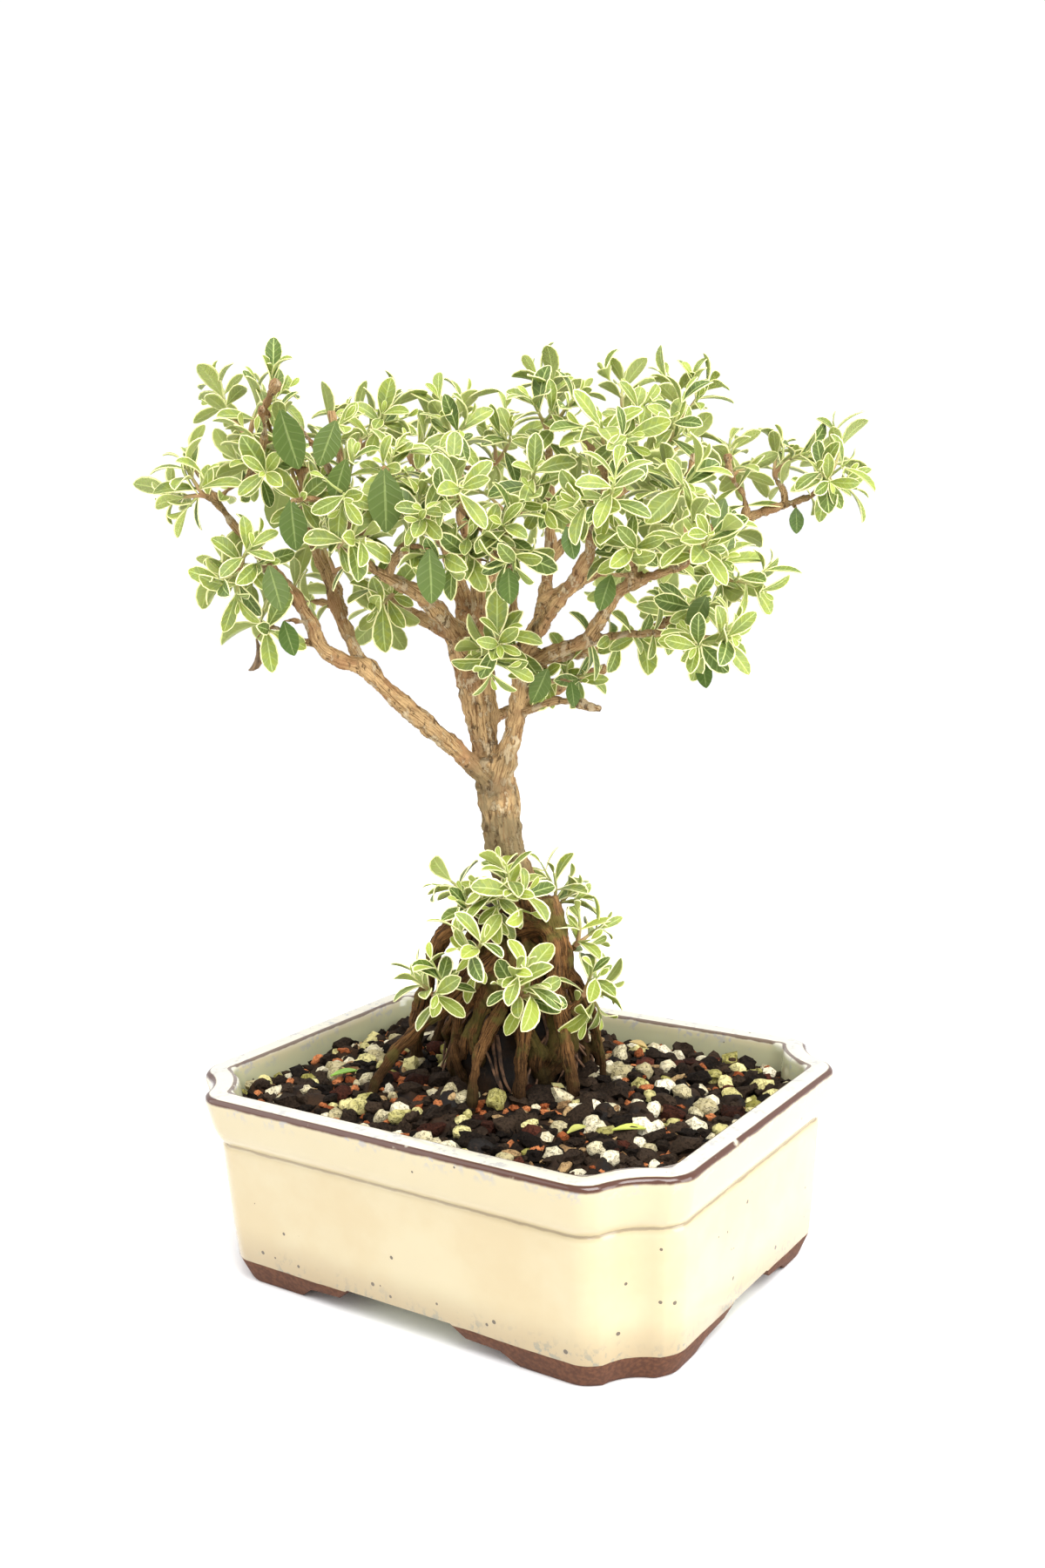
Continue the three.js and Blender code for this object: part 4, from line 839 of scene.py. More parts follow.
# Twigs. From the limbs to each tuft of leaves runs a thin twig, which starts at the nearest
# wood below the tuft and bows up a little. Some twigs were cut and end blunt, and each large old
# leaf hangs on a thin one of its own.
SPRAY_PLACES = {
    "canopy_left": [
        [(-64, 5, 224), (-75, 25, 240), (-60, 12, 237), (-53, 0, 237)],
        [(-64, -5, 213), (-61, -8, 225), (-72, 18, 220), (-57, -22, 214)],
        [(-74, -14, 209), (-78, -20, 218), (-84, -14, 208)],
        [(-64, -14, 190), (-61, -24, 196), (-74, -4, 192), (-66, -20, 182)],
        [(-54, 6, 181), (-54, 22, 189)],
        [(-60, -12, 175), (-64, -8, 179), (-57, -20, 174)],
        [(-50, -8, 206), (-48, -24, 207), (-56, -4, 230), (-40, -12, 228)],
        [(-37, -22, 206), (-36, -36, 206), (-34, -26, 217)],
        [(-37, 6, 221), (-38, 12, 231), (-28, -8, 229)],
        [(-38, -22, 194), (-32, -36, 196), (-43, -24, 199)],
        [(-45, 12, 188), (-38, 15, 189), (-52, 26, 199)],
        [(-54, 38, 204), (-61, 48, 213), (-46, 50, 212)],
    ],
    "canopy_middle": [
        [(-28, -18, 208), (-27, -28, 215), (-22, -18, 221)],
        [(-23, 22, 218), (-26, 28, 230), (-17, 12, 224)],
        [(-19, -26, 198), (-17, -38, 203), (-26, -30, 203)],
        [(-10, -4, 218), (-12, 4, 231), (-8, -18, 223)],
        [(-7, -28, 202), (-7, -42, 208), (-14, -30, 211)],
        [(-4, -24, 191), (-6, -34, 197), (-15, -36, 191)],
        [(-1, 26, 217), (-3, 31, 229), (5, 16, 226)],
        [(4, -25, 193), (2, -36, 199), (5, -40, 188)],
        [(15, 2, 222), (17, 8, 238), (10, -7, 232), (23, -6, 233)],
        [(14, -16, 205), (11, -28, 213), (16, -34, 204)],
        [(-28, -2, 182), (-32, -15, 178), (-33, 9, 175)],
        [(0, -18, 168), (2, -26, 173), (-2, -24, 161)],
        [(-26, 38, 203), (-33, 47, 212), (-20, 50, 198)],
        [(3, 42, 203), (-8, 54, 213), (6, 58, 213), (19, 52, 203)],
    ],
    "canopy_right": [
        [(28, -24, 213), (27, -32, 223), (34, -38, 219)],
        [(26, -42, 200), (28, -56, 207), (20, -50, 203)],
        [(37, 8, 225), (36, 12, 237), (41, -8, 230)],
        [(52, 22, 226), (50, 32, 241), (60, 20, 237)],
        [(44, -4, 216), (46, -14, 225), (53, 4, 221)],
        [(46, -28, 200), (46, -41, 207), (39, -24, 207)],
        [(47, -40, 189), (50, -54, 195), (43, -46, 196)],
        [(34, -32, 188), (34, -46, 192), (28, -35, 194)],
        [(67, 22, 210), (66, 22, 222), (74, 31, 213)],
        [(80, 30, 211), (83, 36, 221), (89, 27, 218)],
        [(91, 23, 207), (99, 32, 221), (101, 20, 207), (88, 10, 212)],
        [(56, -4, 183), (59, -12, 189), (64, 2, 180), (69, -14, 180)],
        [(48, -10, 175), (51, -27, 180), (47, 10, 176)],
        [(48, -26, 170), (57, -40, 170), (48, -42, 168)],
        [(35, -4, 169), (38, -13, 169)],
        [(15, 2, 157), (10, -14, 161), (25, -8, 160)],
        [(31, 43, 209), (27, 54, 222), (40, 58, 216)],
        [(52, 46, 206), (48, 58, 219), (62, 54, 214)],
        [(38, 38, 188), (32, 46, 180), (47, 52, 191)],
        [(58, 38, 194), (57, 50, 200), (69, 40, 200)],
    ],
    "root_shoot": [
        [(-10, -11, 96), (-17, -6, 106), (-13, -18, 102)],
        [(-1, -11, 98), (0, -16, 111), (-6, -19, 104), (6, -17, 104)],
        [(12, 6, 92), (13, 3, 104), (19, 8, 98)],
        [(-9, -21, 87), (-6, -27, 94), (-13, -26, 91)],
        [(-20, -19, 76), (-25, -21, 82), (-19, -27, 79), (-14, -24, 84)],
        [(3, -26, 77), (-3, -32, 83), (5, -31, 88), (10, -32, 79)],
        [(18, -8, 86), (19, -9, 96), (26, -5, 91)],
        [(19, -16, 74), (22, -19, 83), (27, -14, 76), (24, -20, 69)],
        [(-4, 16, 84), (-2, 20, 94), (-11, 20, 90)],
    ],
}
SPRAYS = [
    {"node": f"{prefix}_{number:02d}", "root": prefix == "root_shoot", "from": foot, "to": tips}
    for prefix, places in SPRAY_PLACES.items()
    for number, (foot, *tips) in enumerate(places, 1)
]
TWIG_RADII = [1.15, 0.75]
TWIG_BOW = 0.12
TWIG_CLIMB = 2
DROP_COST = 1.5
BRANCH_SHARE = 0.9
PLACE_STEP = 3
DEAD_TWIG = [[-59, -11, 175], [-62, -11, 173.5], [-63.5, -10.5, 172]]
DEAD_TWIG_RADII = [0.7, 0.5]
CUT_RADIUS = 1.0
STALK_RADII = [0.75, 0.5]
CUT_TWIGS = [
    (-77.8, -10, 216.9), (-52.7, -22, 236), (-39.7, -22, 228.8), (-57, -22, 230.4),
    (50.5, -25, 214.8), (21.6, -20, 220.7), (31, -20, 221.5), (25.9, -20, 151.4), (63, 4, 216),
    (12, 36, 214),
]
OLD_LEAF_BACK = 25
OLD_LEAF_OUT = {True: 4, False: -3}
OLD_LEAF_PLACES = [
    (-51.7, -26, 228.8, -47.9, 214.2), (-37.9, -28, 225.5, -42.3, 214.7),
    (-35.7, -30, 216, -39.3, 206.2), (-26.1, -34, 213.4, -25.9, 198.1),
    (-50.3, -26, 206.8, -49.4, 194.5), (-56.3, -28, 190.9, -53.2, 179.9),
    (-15.7, -38, 193.6, -15.2, 180.7), (-54.3, -22, 176.8, -51.9, 168.3),
    (3.3, -40, 188.4, 3.3, 180), (83.1, 16, 202.2, 83, 195.5), (51.1, -28, 164.1, 51.8, 157.3),
    (18.5, -18, 158.9, 19.1, 152.6), (12.5, -20, 162.4, 8.4, 154.2),
    (52.4, -30, 180.2, 47.8, 172.5), (59.8, -10, 204.4, 57, 196.7), (27.8, -44, 186, 24.6, 178),
    (17.3, -50, 197.7, 18.9, 190.4), (0, 52, 200, 2, 188), (-40, 30, 204, -42, 192),
    (44, 52, 206, 46, 195), (-60, 26, 214, -64, 202),
]
OLD_LEAVES = [
    ((x, y, z), (tip_x, y + OLD_LEAF_OUT[y >= OLD_LEAF_BACK], tip_z))
    for x, y, z, tip_x, tip_z in OLD_LEAF_PLACES
]


def unit(vector):
    return vector / max(np.linalg.norm(vector), 1e-9)


def places_on(limbs):
    """Where twigs may start: points every few millimetres along the limbs."""
    places = []
    for middle, radii in limbs:
        way = smooth_way(middle)
        thickness = radii_along(way, radii)
        for i in range(PLACE_STEP, len(way), PLACE_STEP):
            places.append((way[i], unit(way[i] - way[i - 1]), thickness[i]))
    return places


def twig_to(target, places):
    """The twig's curve to a tuft, and its thickness at the start."""
    target = np.array(target, float)

    def cost(place):
        above = max(0, place[0][2] - target[2] + TWIG_CLIMB)
        return np.linalg.norm(place[0] - target) + above * DROP_COST

    start, tangent, radius = min(places, key=cost)
    distance = np.linalg.norm(target - start)
    middle = (start + target) / 2 + tangent * distance * TWIG_BOW
    return smooth_way([start, middle, target]), min(TWIG_RADII[0], radius * BRANCH_SHARE)


limb_places = places_on(LIMBS.values())
root_places = places_on(ROOTS)
for spray in SPRAYS:
    spray["twig"], thick = twig_to(spray["from"], root_places if spray["root"] else limb_places)
    wood.add(spray["twig"], [thick, TWIG_RADII[1]])
wood.add(smooth_way(DEAD_TWIG), DEAD_TWIG_RADII)
crown_places = limb_places + places_on(
    [(spray["twig"], TWIG_RADII) for spray in SPRAYS if not spray["root"]],
)
for tip in CUT_TWIGS:
    way, thick = twig_to(tip, crown_places)
    wood.add(way, [thick, CUT_RADIUS])
for foot, _ in OLD_LEAVES:
    way, thick = twig_to(foot, crown_places)
    wood.add(way, [min(thick, STALK_RADII[0]), STALK_RADII[1]])

# Bark. One skin over trunk, limbs, twigs and roots, split into long fibres with small pits and
# pale flakes. It is greyest on the trunk, brown and mossy on the roots and darkest at the soil.
WOOD_CELL = 0.67
WOOD_SMOOTHING = math.radians(60)
NEAR_COUNT = 6
BARK_CROSS = Vector((0.3, 1, 0.1))
GRAIN_LENGTH = 9
ROUGH_GRAIN = (2.6, 11)
ROUGH_HEIGHT = 0.15
FIBRE_GRAIN = (4.5, 7)
FIBRE_HEIGHT = 0.10
BARK_LUMPS = [(0.9, 210), (0.45, 560)]
BARK_TAN = (0.61, 0.40, 0.19, 1)
BARK_BROWN = (0.19, 0.095, 0.036, 1)
BARK_GREY = (0.185, 0.145, 0.075, 1)
BARK_PIT = (0.075, 0.04, 0.018, 1)
BARK_RED = (0.36, 0.185, 0.085, 1)
BARK_FLAKE = (0.70, 0.57, 0.37, 1)
ROOT_BROWN = (0.27, 0.13, 0.045, 1)
ROOT_DARK = (0.026, 0.012, 0.004, 1)
ROOT_MOSS = (0.13, 0.115, 0.028, 1)

wood_places = finder_of([place for place, *_ in wood.samples])


def raise_bark(piece):
    """Raises long fibres and lumps on the wood, and keeps where each point lies round and along."""
    grain = []

    def bark_depth(point):
        near = wood_places.find_n(point, NEAR_COUNT)
        place, tangent, radius, length = min(
            (wood.samples[i] for _, i, _ in near),
            key=lambda sample: (point - sample[0]).length - sample[2],
        )
        out = point - place
        out = (out - tangent * out.dot(tangent)).normalized()
        side = tangent.cross(BARK_CROSS).normalized()
        round_about = (out.dot(side), out.dot(tangent.cross(side)))
        mark = Vector((*round_about, length / GRAIN_LENGTH))
        grain.append(mark)
        rough, ridge = (
            noise.noise(Vector((mark.x * fine, mark.y * fine, length / run)))
            for fine, run in (ROUGH_GRAIN, FIBRE_GRAIN)
        )
        fibre = 1 - 2 * abs(ridge)
        lump = sum(high * noise.noise(point * often) for high, often in BARK_LUMPS)
        return radius * (ROUGH_HEIGHT * rough + FIBRE_HEIGHT * fibre) + lump * MM

    push_points(piece, bark_depth)
    held = piece.data.attributes.new("grain", "FLOAT_VECTOR", "POINT")
    held.data.foreach_set("vector", [value for mark in grain for value in mark])


def make_bark():
    bark = Finish("fibrous bark")
    place = bark.place()
    grain = bark.attribute("grain", "Vector")
    height = bark.height(place)
    fibres = bark.cloud(bark.stretched(grain, (3.2, 3.2, 0.9)), 1.6, 6, 0.65)
    threads = bark.cloud(bark.stretched(grain, (9, 9, 1.6)), 1.4, 4, 0.6)
    patches = bark.cloud(place, 60, 4)
    body = bark.mix(bark.spread(fibres, 0.35, 0.55), BARK_BROWN, BARK_TAN)
    body = bark.over(body, BARK_RED, bark.cloud(place, 110, 4), 0.5, 0.62, 0, 0.7)
    flakes = bark.cloud(bark.stretched(place, (1, 1, 0.6)), 300, 5, 0.65)
    body = bark.over(body, BARK_FLAKE, flakes, 0.54, 0.6, 0, 0.7)
    grey = bark.times(bark.spread(patches, 0.34, 0.52), bark.spread(height, 152, 124, 0.12, 0.85))
    body = bark.mix(grey, body, BARK_GREY)
    body = bark.over(body, BARK_BROWN, threads, 0.55, 0.64, 0, 0.7)
    pits = bark.cloud(bark.stretched(place, (1, 1, 0.45)), 560, 4, 0.65)
    body = bark.over(body, BARK_PIT, pits, 0.56, 0.66, 0, 0.75)

    root = bark.mix(bark.spread(fibres, 0.36, 0.62), ROOT_DARK, ROOT_BROWN)
    root = bark.over(root, ROOT_MOSS, bark.cloud(place, 130, 4), 0.5, 0.62, 0, 0.75)
    root = bark.over(root, ROOT_DARK, height, 68, 50, 0, 0.85)
    low = bark.plus(height, bark.times(patches, 22))
    body = bark.over(body, root, low, 108, 122, 1, 0)
    bark.colour(body)
    bark.roughness(0.82)
    relief = bark.plus(fibres, bark.times(threads, 0.5))
    relief = bark.plus(relief, bark.spread(flakes, 0.5, 0.62, 0, 0.7))
    bark.bump(bark.minus(relief, bark.spread(pits, 0.58, 0.7, 0, 0.5)), 0.9, 0.8 * MM)
    bark.set("Specular IOR Level", 0.12)
    return bark.material


bark_material = make_bark()
tree_wood = wood.mesh("tree_wood")
apply_modifier(tree_wood, "REMESH", mode="VOXEL", voxel_size=WOOD_CELL * MM)
raise_bark(tree_wood)
smooth(tree_wood, WOOD_SMOOTHING)
finish_piece(tree_wood, bark_material, "bark", "tree")

# Root ball. The old roots have grown into one another and still hold a core of black soil, with
# a tangle of fine rootlets over it.
BALL_SIDES = 60
BALL_RINGS = 40
BALL_SHRINK = 1.0
BALL_CRUMB = 1.5
BALL_CRUMBS_PER_METRE = 260
ROOTLET_COUNT = 46
ROOTLET_SEED = 9
ROOTLET_START = (0.4, 0.75)
ROOTLET_TIP = 0.3
ROOTLET_TOP = (62, 94)
ROOTLET_END = 46
ROOTLET_STEP = (2.5, 5)
ROOTLET_LIFT = (-0.3, 0.9)
ROOTLET_TURN = 0.09
ROOTLET_BROWN = (0.20, 0.10, 0.05, 1)


def ball_ring(height):
    return [
        tree_point(ball_point(math.tau * side / BALL_SIDES, height, -BALL_SHRINK))
        for side in range(BALL_SIDES)
    ]


ball_low, ball_high = ROOT_BALL[0][1], ROOT_BALL[-1][1]
ball_heights = np.linspace(ball_low, ball_high, BALL_RINGS)
root_ball = loft("root_ball", [ball_ring(height) for height in ball_heights])
crumble(root_ball, BALL_CRUMB * MM, BALL_CRUMBS_PER_METRE, SOIL_EDGE * MM)
smooth(root_ball, WOOD_SMOOTHING)
finish_piece(root_ball, soil_material, "bark", "tree")


def mottled(name, scale, colours, roughness, depth=0.0):
    """An even finish of two colours, with a fine relief where a depth is given."""
    plain = Finish(name)
    fine = plain.cloud(plain.place(), scale)
    plain.colour(plain.mix(plain.spread(fine, 0.3, 0.7), *colours))
    plain.roughness(roughness)
    if depth:
        plain.bump(fine, 0.4, depth * MM)
    return plain.material


def grow_rootlets():
    """Thin roots that wander down over the ball and into the soil."""
    draw = random.Random(ROOTLET_SEED)
    rootlets = Wood()
    for _ in range(ROOTLET_COUNT):
        angle = draw.uniform(0, math.tau)
        height = draw.uniform(*ROOTLET_TOP)
        turn = draw.uniform(-ROOTLET_TURN, ROOTLET_TURN)
        way = []
        while height > ROOTLET_END:
            way.append(ball_point(angle, height, draw.uniform(*ROOTLET_LIFT)))
            height -= draw.uniform(*ROOTLET_STEP)
            turn += draw.uniform(-ROOT_WANDER, ROOT_WANDER)
            angle += turn
        rootlets.add(smooth_way(way), [draw.uniform(*ROOTLET_START), ROOTLET_TIP])
    return rootlets.mesh("rootlets")


rootlets = grow_rootlets()
smooth(rootlets, WOOD_SMOOTHING)
rootlet_material = mottled("fine roots", 500, (ROOT_DARK, ROOTLET_BROWN), 0.8, 0.2)
finish_piece(rootlets, rootlet_material, "bark", "tree")

# Leaves. Small, thin, folded blades that bend back at the tip, in pairs that cross one another
# up each green shoot. Most have a cream margin round a grey-green middle. A few old ones are
# plain dark green, large and hang down, and those of the root shoots are the palest.
LEAF_SEED = 31
LEAF_ROWS = [0, 0.12, 0.28, 0.47, 0.66, 0.82, 0.94, 1]
LEAF_OUTLINE = [0.12, 0.27, 0.60, 0.90, 1.0, 0.85, 0.48, 0.08]
OLD_LEAF_OUTLINE = [0.10, 0.42, 0.80, 1.0, 0.93, 0.68, 0.34, 0.06]
LEAF_COLUMNS = 2
MIDDLE_ROW = 3
START_THICKNESS = 0.1
LEAF_THICKNESS = 0.28
LEAF_SMOOTHING = math.radians(70)
LEAF_SHRINKS = (1, 0.85, 0.7)
LEAF_SIZE = 10.2
ROOT_LEAF_SIZE = 10.4
LEAF_LENGTH = (0.7, 1.25)
LEAF_WIDTH = (0.34, 0.48)
LEAF_FOLD = (0.16, 0.42)
LEAF_CURL = (0.2, 0.9)
LEAF_BEND = 1.4
PAIRS = [
    (0.0, 0.40, 16), (1.0, 0.70, 28), (2.8, 0.95, 42), (5.4, 1.05, 56), (9.0, 1.0, 68),
    (13.2, 0.9, 80),
]
PAIR_TWIST = 0.25
PAIR_SPREAD = 14
PAIR_ROLL = (-0.3, 0.3)
PAIR_NOD = (-0.4, 0.2)
SIDE_SHOOTS = (3, 4)
SIDE_SHOOT_CHANCE = 0.8
SIDE_SHOOT_LENGTH = (4.5, 8.5)
SIDE_SHOOT_PAIRS = 3
SIDE_SHOOT_THICKNESS = 0.7
SIDE_LEAN = 0.75
SIDE_LIFT = np.array([0, 0, 0.2])
SHOOT_FOOT = 1.4
BARE_FOOT = 0.8
TWIG_PAIR_START = 3
TWIG_PAIR_STEP = 6
TWIG_PAIR = (0.95, 78)
SHOOT_RADII = [0.7, 0.32]
SHOOT_SIDES = 6
SHOOT_WOODY = 0.9
SIDE_SHOOT_WOODY = 0.3
TIP_WOODY = 0.05
TIP_PULL = 0.6
SHOOT_CROSS = (0.23, 0.91, 0.34)
MIN_APART = 2.3
ROOT_APART = 3.1
BOX_MARGIN = 0.25
WOOD_CLEAR = 0.4
LIGHT_PULL = 0.25
MARGIN = (0.03, 0.07)
ROOT_MARGIN = (0.04, 0.10)
PLAIN_MARGIN = -0.3
YOUNG = (-1, 0.4)
ROOT_YOUNG = (-0.8, 1)
TIP_YOUNG = 0.9
YOUNG_STEP = 0.35
OLD_LEAF_WIDTH = 0.56
OLD_LEAF_ROLL = (-0.4, 0.4)
OLD_LEAF_LIFT = 0.3
OLD_LEAF_FOLD = 0.1
OLD_LEAF_CURL = (0.1, 0.4)
OLD_LEAF_CLEAR = 3.5
OPEN_REACH = 0.42
LEAF_CREAM = (0.90, 0.87, 0.45, 1)
LEAF_IVORY = (0.92, 0.90, 0.56, 1)
LEAF_LIME = (0.36, 0.42, 0.055, 1)
LEAF_MID_GREEN = (0.255, 0.30, 0.045, 1)
LEAF_GREY_GREEN = (0.20, 0.25, 0.065, 1)
LEAF_DARK_GREEN = (0.055, 0.098, 0.012, 1)
LEAF_PLAIN_GREEN = (0.065, 0.10, 0.012, 1)
LEAF_RIB = (0.52, 0.60, 0.22, 1)
LEAF_UNDER = (0.38, 0.41, 0.14, 1)
SHOOT_GREEN = (0.36, 0.40, 0.14, 1)
SHOOT_BROWN = (0.36, 0.21, 0.10, 1)


def leaf_start():
    """A closed flat blade: across, row and under for each point, and its faces."""
    row_gaps = len(LEAF_ROWS) - 1
    points, faces = shaped_primitive(
        bpy.ops.mesh.primitive_grid_add, START_THICKNESS,
        x_subdivisions=LEAF_COLUMNS, y_subdivisions=row_gaps, size=1,
    )
    rows = np.rint((points[:, 1] + 0.5) * row_gaps).astype(int)
    under = (points[:, 2] < -START_THICKNESS / 2).astype(float)
    return points[:, 0] * 2, rows, under, faces


leaf_across, leaf_row, leaf_under, leaf_faces = leaf_start()
leaf_along = np.array(LEAF_ROWS)[leaf_row]
leaf_half = np.array(LEAF_OUTLINE)[leaf_row]
LEAF_MARKS = {
    "edge": (1 - np.abs(leaf_across)) * leaf_half / 2, "across": leaf_across,
    "along": leaf_along, "under": leaf_under,
}


def bent_blade(length, width, fold, curl, half=leaf_half):
    """Points of one leaf from its foot: x across, y along, z up, folded and bent back."""
    across = leaf_across * half * width / 2
    angle = curl * leaf_along ** LEAF_BEND
    forward = length * np.sin(angle) / np.maximum(angle, 1e-3) * leaf_along
    drop = -length * (1 - np.cos(angle)) / np.maximum(angle, 1e-3) * leaf_along
    rise = np.abs(across) * fold - leaf_under * LEAF_THICKNESS
    return np.stack([across, forward + rise * np.sin(angle), drop + rise * np.cos(angle)], axis=1)


def add_leaf(heap, points, tone, margin=PLAIN_MARGIN, young=0.0):
    """Adds one leaf, with the values that its finish reads."""
    heap.add(
        [tree_point(point) for point in points], leaf_faces, **LEAF_MARKS,
        tone=tone, margin=margin, young=young, woody=0.0,
    )


def set_blade(foot, way, upper):
    """Puts a blade's points where a leaf grows: its foot, the way it runs, its upper side."""
    way = unit(way)
    upper = unit(upper - way * np.dot(upper, way))
    axes = np.array([np.cross(way, upper), way, upper])
    return lambda blade: foot + blade @ axes


def crossing(tangent, angle):
    """A direction straight out from a shoot, at an angle round it."""
    side = unit(np.cross(tangent, SHOOT_CROSS))
    other = np.cross(tangent, side)
    return side * math.cos(angle) + other * math.sin(angle)


def hides_old_leaf(place):
    """Whether a leaf there would lie over one of the large old leaves, seen from outside."""
    for foot, tip in OLD_LEAVES:
        off = math.hypot(place[0] - (foot[0] + tip[0]) / 2, place[2] - (foot[2] + tip[2]) / 2)
        outside = (place[1] < foot[1] + OLD_LEAF_CLEAR if foot[1] < OLD_LEAF_BACK
                   else place[1] > foot[1] - OLD_LEAF_CLEAR)
        if outside and off < OPEN_REACH * math.dist(foot, tip):
            return True
    return False


class Spray:
    """One tuft of leafy shoots. All of it is in the tree's own frame until it is finished."""

    def __init__(self, root, draw):
        self.draw = draw
        self.root = root
        self.size = ROOT_LEAF_SIZE if self.root else LEAF_SIZE
        self.heap = Heap()

    def leaf(self, foot, way, upper, length, width, margin, fold, curl, young):
        """A leaf, smaller where there is no room for it, or none."""
        put = set_blade(foot, way, upper)
        for shrink in LEAF_SHRINKS:
            points = put(bent_blade(length * shrink, width * shrink, fold, curl))
            if self.fits(points):
                add_leaf(self.heap, points, self.draw.random(), margin, young)
                return

    def fits(self, points):
        """Inside the tree's reach, clear of the wood and of the leaves already there."""
        crowding = ROOT_APART if self.root else MIN_APART
        middle = points[(leaf_row == MIDDLE_ROW) & (np.abs(leaf_across) < 0.1)][0]
        for other in leaf_middles:
            if abs(other[0] - middle[0]) < crowding and np.linalg.norm(other - middle) < crowding:
                return False
        ends = [tree_point(point) for point in points]
        low, high = cad_box
        gap = BOX_MARGIN * MM
        if not all(low[i] + gap < end[i] < high[i] - gap for end in ends for i in range(3)):
            return False
        if hides_old_leaf(middle):
            return False
        _, index, distance = wood_places.find(tree_point(middle))
        if distance < wood.samples[index][2] + WOOD_CLEAR * MM:
            return False
        leaf_middles.append(middle)
        return True

    def pair(self, place, tangent, angle, scale, spread, young=0.0):
        """Two leaves from one place on a shoot, on opposite sides."""
        draw = self.draw
        for turn in (0, math.pi):
            out = crossing(tangent, angle + turn + draw.uniform(-PAIR_TWIST, PAIR_TWIST))
            tilt = math.radians(spread + draw.uniform(-PAIR_SPREAD, PAIR_SPREAD))
            way = tangent * math.cos(tilt) + out * math.sin(tilt)
            upper = tangent * math.sin(tilt) - out * math.cos(tilt)
            roll, nod = draw.uniform(*PAIR_ROLL), draw.uniform(*PAIR_NOD)
            upper = upper + np.array([roll, nod, LIGHT_PULL])
            length = self.size * scale * draw.uniform(*LEAF_LENGTH)
            self.leaf(
                place, way, upper, length, length * draw.uniform(*LEAF_WIDTH),
                draw.uniform(*(ROOT_MARGIN if self.root else MARGIN)),
                draw.uniform(*LEAF_FOLD), draw.uniform(*LEAF_CURL),
                max(young - YOUNG_STEP, draw.uniform(*(ROOT_YOUNG if self.root else YOUNG))),
            )

    def tube(self, way, radii, woody):
        """The round stem of a shoot, brown at its foot and green at its tip."""
        thickness = radii_along(way, radii)
        rings = []
        for i, place in enumerate(way):
            tangent = unit(way[min(i + 1, len(way) - 1)] - way[max(i - 1, 0)])
            rings.append([
                tree_point(place + crossing(tangent, -math.tau * side / SHOOT_SIDES) * thickness[i])
                for side in range(SHOOT_SIDES)
            ])
        fade = np.repeat(np.linspace(woody, TIP_WOODY, len(rings)), SHOOT_SIDES)
        self.heap.add(
            *ring_skin(rings), edge=0.5, across=0.0, along=0.0, under=0.0,
            tone=self.draw.random(), margin=PLAIN_MARGIN, young=0.0, woody=1 + fade,
        )

    def shoot(self, start, heading, tip, pairs, side_shoots, thick=1.0):
        """A green shoot with its leaf pairs, closest together at the tip."""
        draw = self.draw
        first = start + heading * SHOOT_FOOT
        middle = first + (tip - first) * 0.5 + heading * np.linalg.norm(tip - start) * TWIG_BOW
        way = smooth_way([start, first, middle, tip])
        lengths = lengths_along(way)
        woody = SHOOT_WOODY if thick == 1 else SIDE_SHOOT_WOODY
        self.tube(way, [radius * thick for radius in SHOOT_RADII], woody)
        angle = draw.uniform(0, math.tau)
        for number, (below, scale, spread) in enumerate(pairs):
            if below > lengths[-1] - BARE_FOOT:
                break
            at = lengths[-1] - below
            place = np.array([np.interp(at, lengths, way[:, axis]) for axis in range(3)])
            i = min(max(int(np.searchsorted(lengths, at)), 1), len(way) - 1)
            tangent = unit(way[i] - way[i - 1])
            across = angle + number * math.pi / 2
            self.pair(place, tangent, across, scale, spread, TIP_YOUNG - YOUNG_STEP * number)
            if number in side_shoots and draw.random() < SIDE_SHOOT_CHANCE:
                out = crossing(tangent, across + draw.choice((0, math.pi)))
                reach = draw.uniform(*SIDE_SHOOT_LENGTH)
                end = place + (unit(tangent * SIDE_LEAN + out) + SIDE_LIFT) * reach
                self.shoot(
                    place, unit(tangent + out), end, pairs[:SIDE_SHOOT_PAIRS], (),
                    SIDE_SHOOT_THICKNESS,
                )


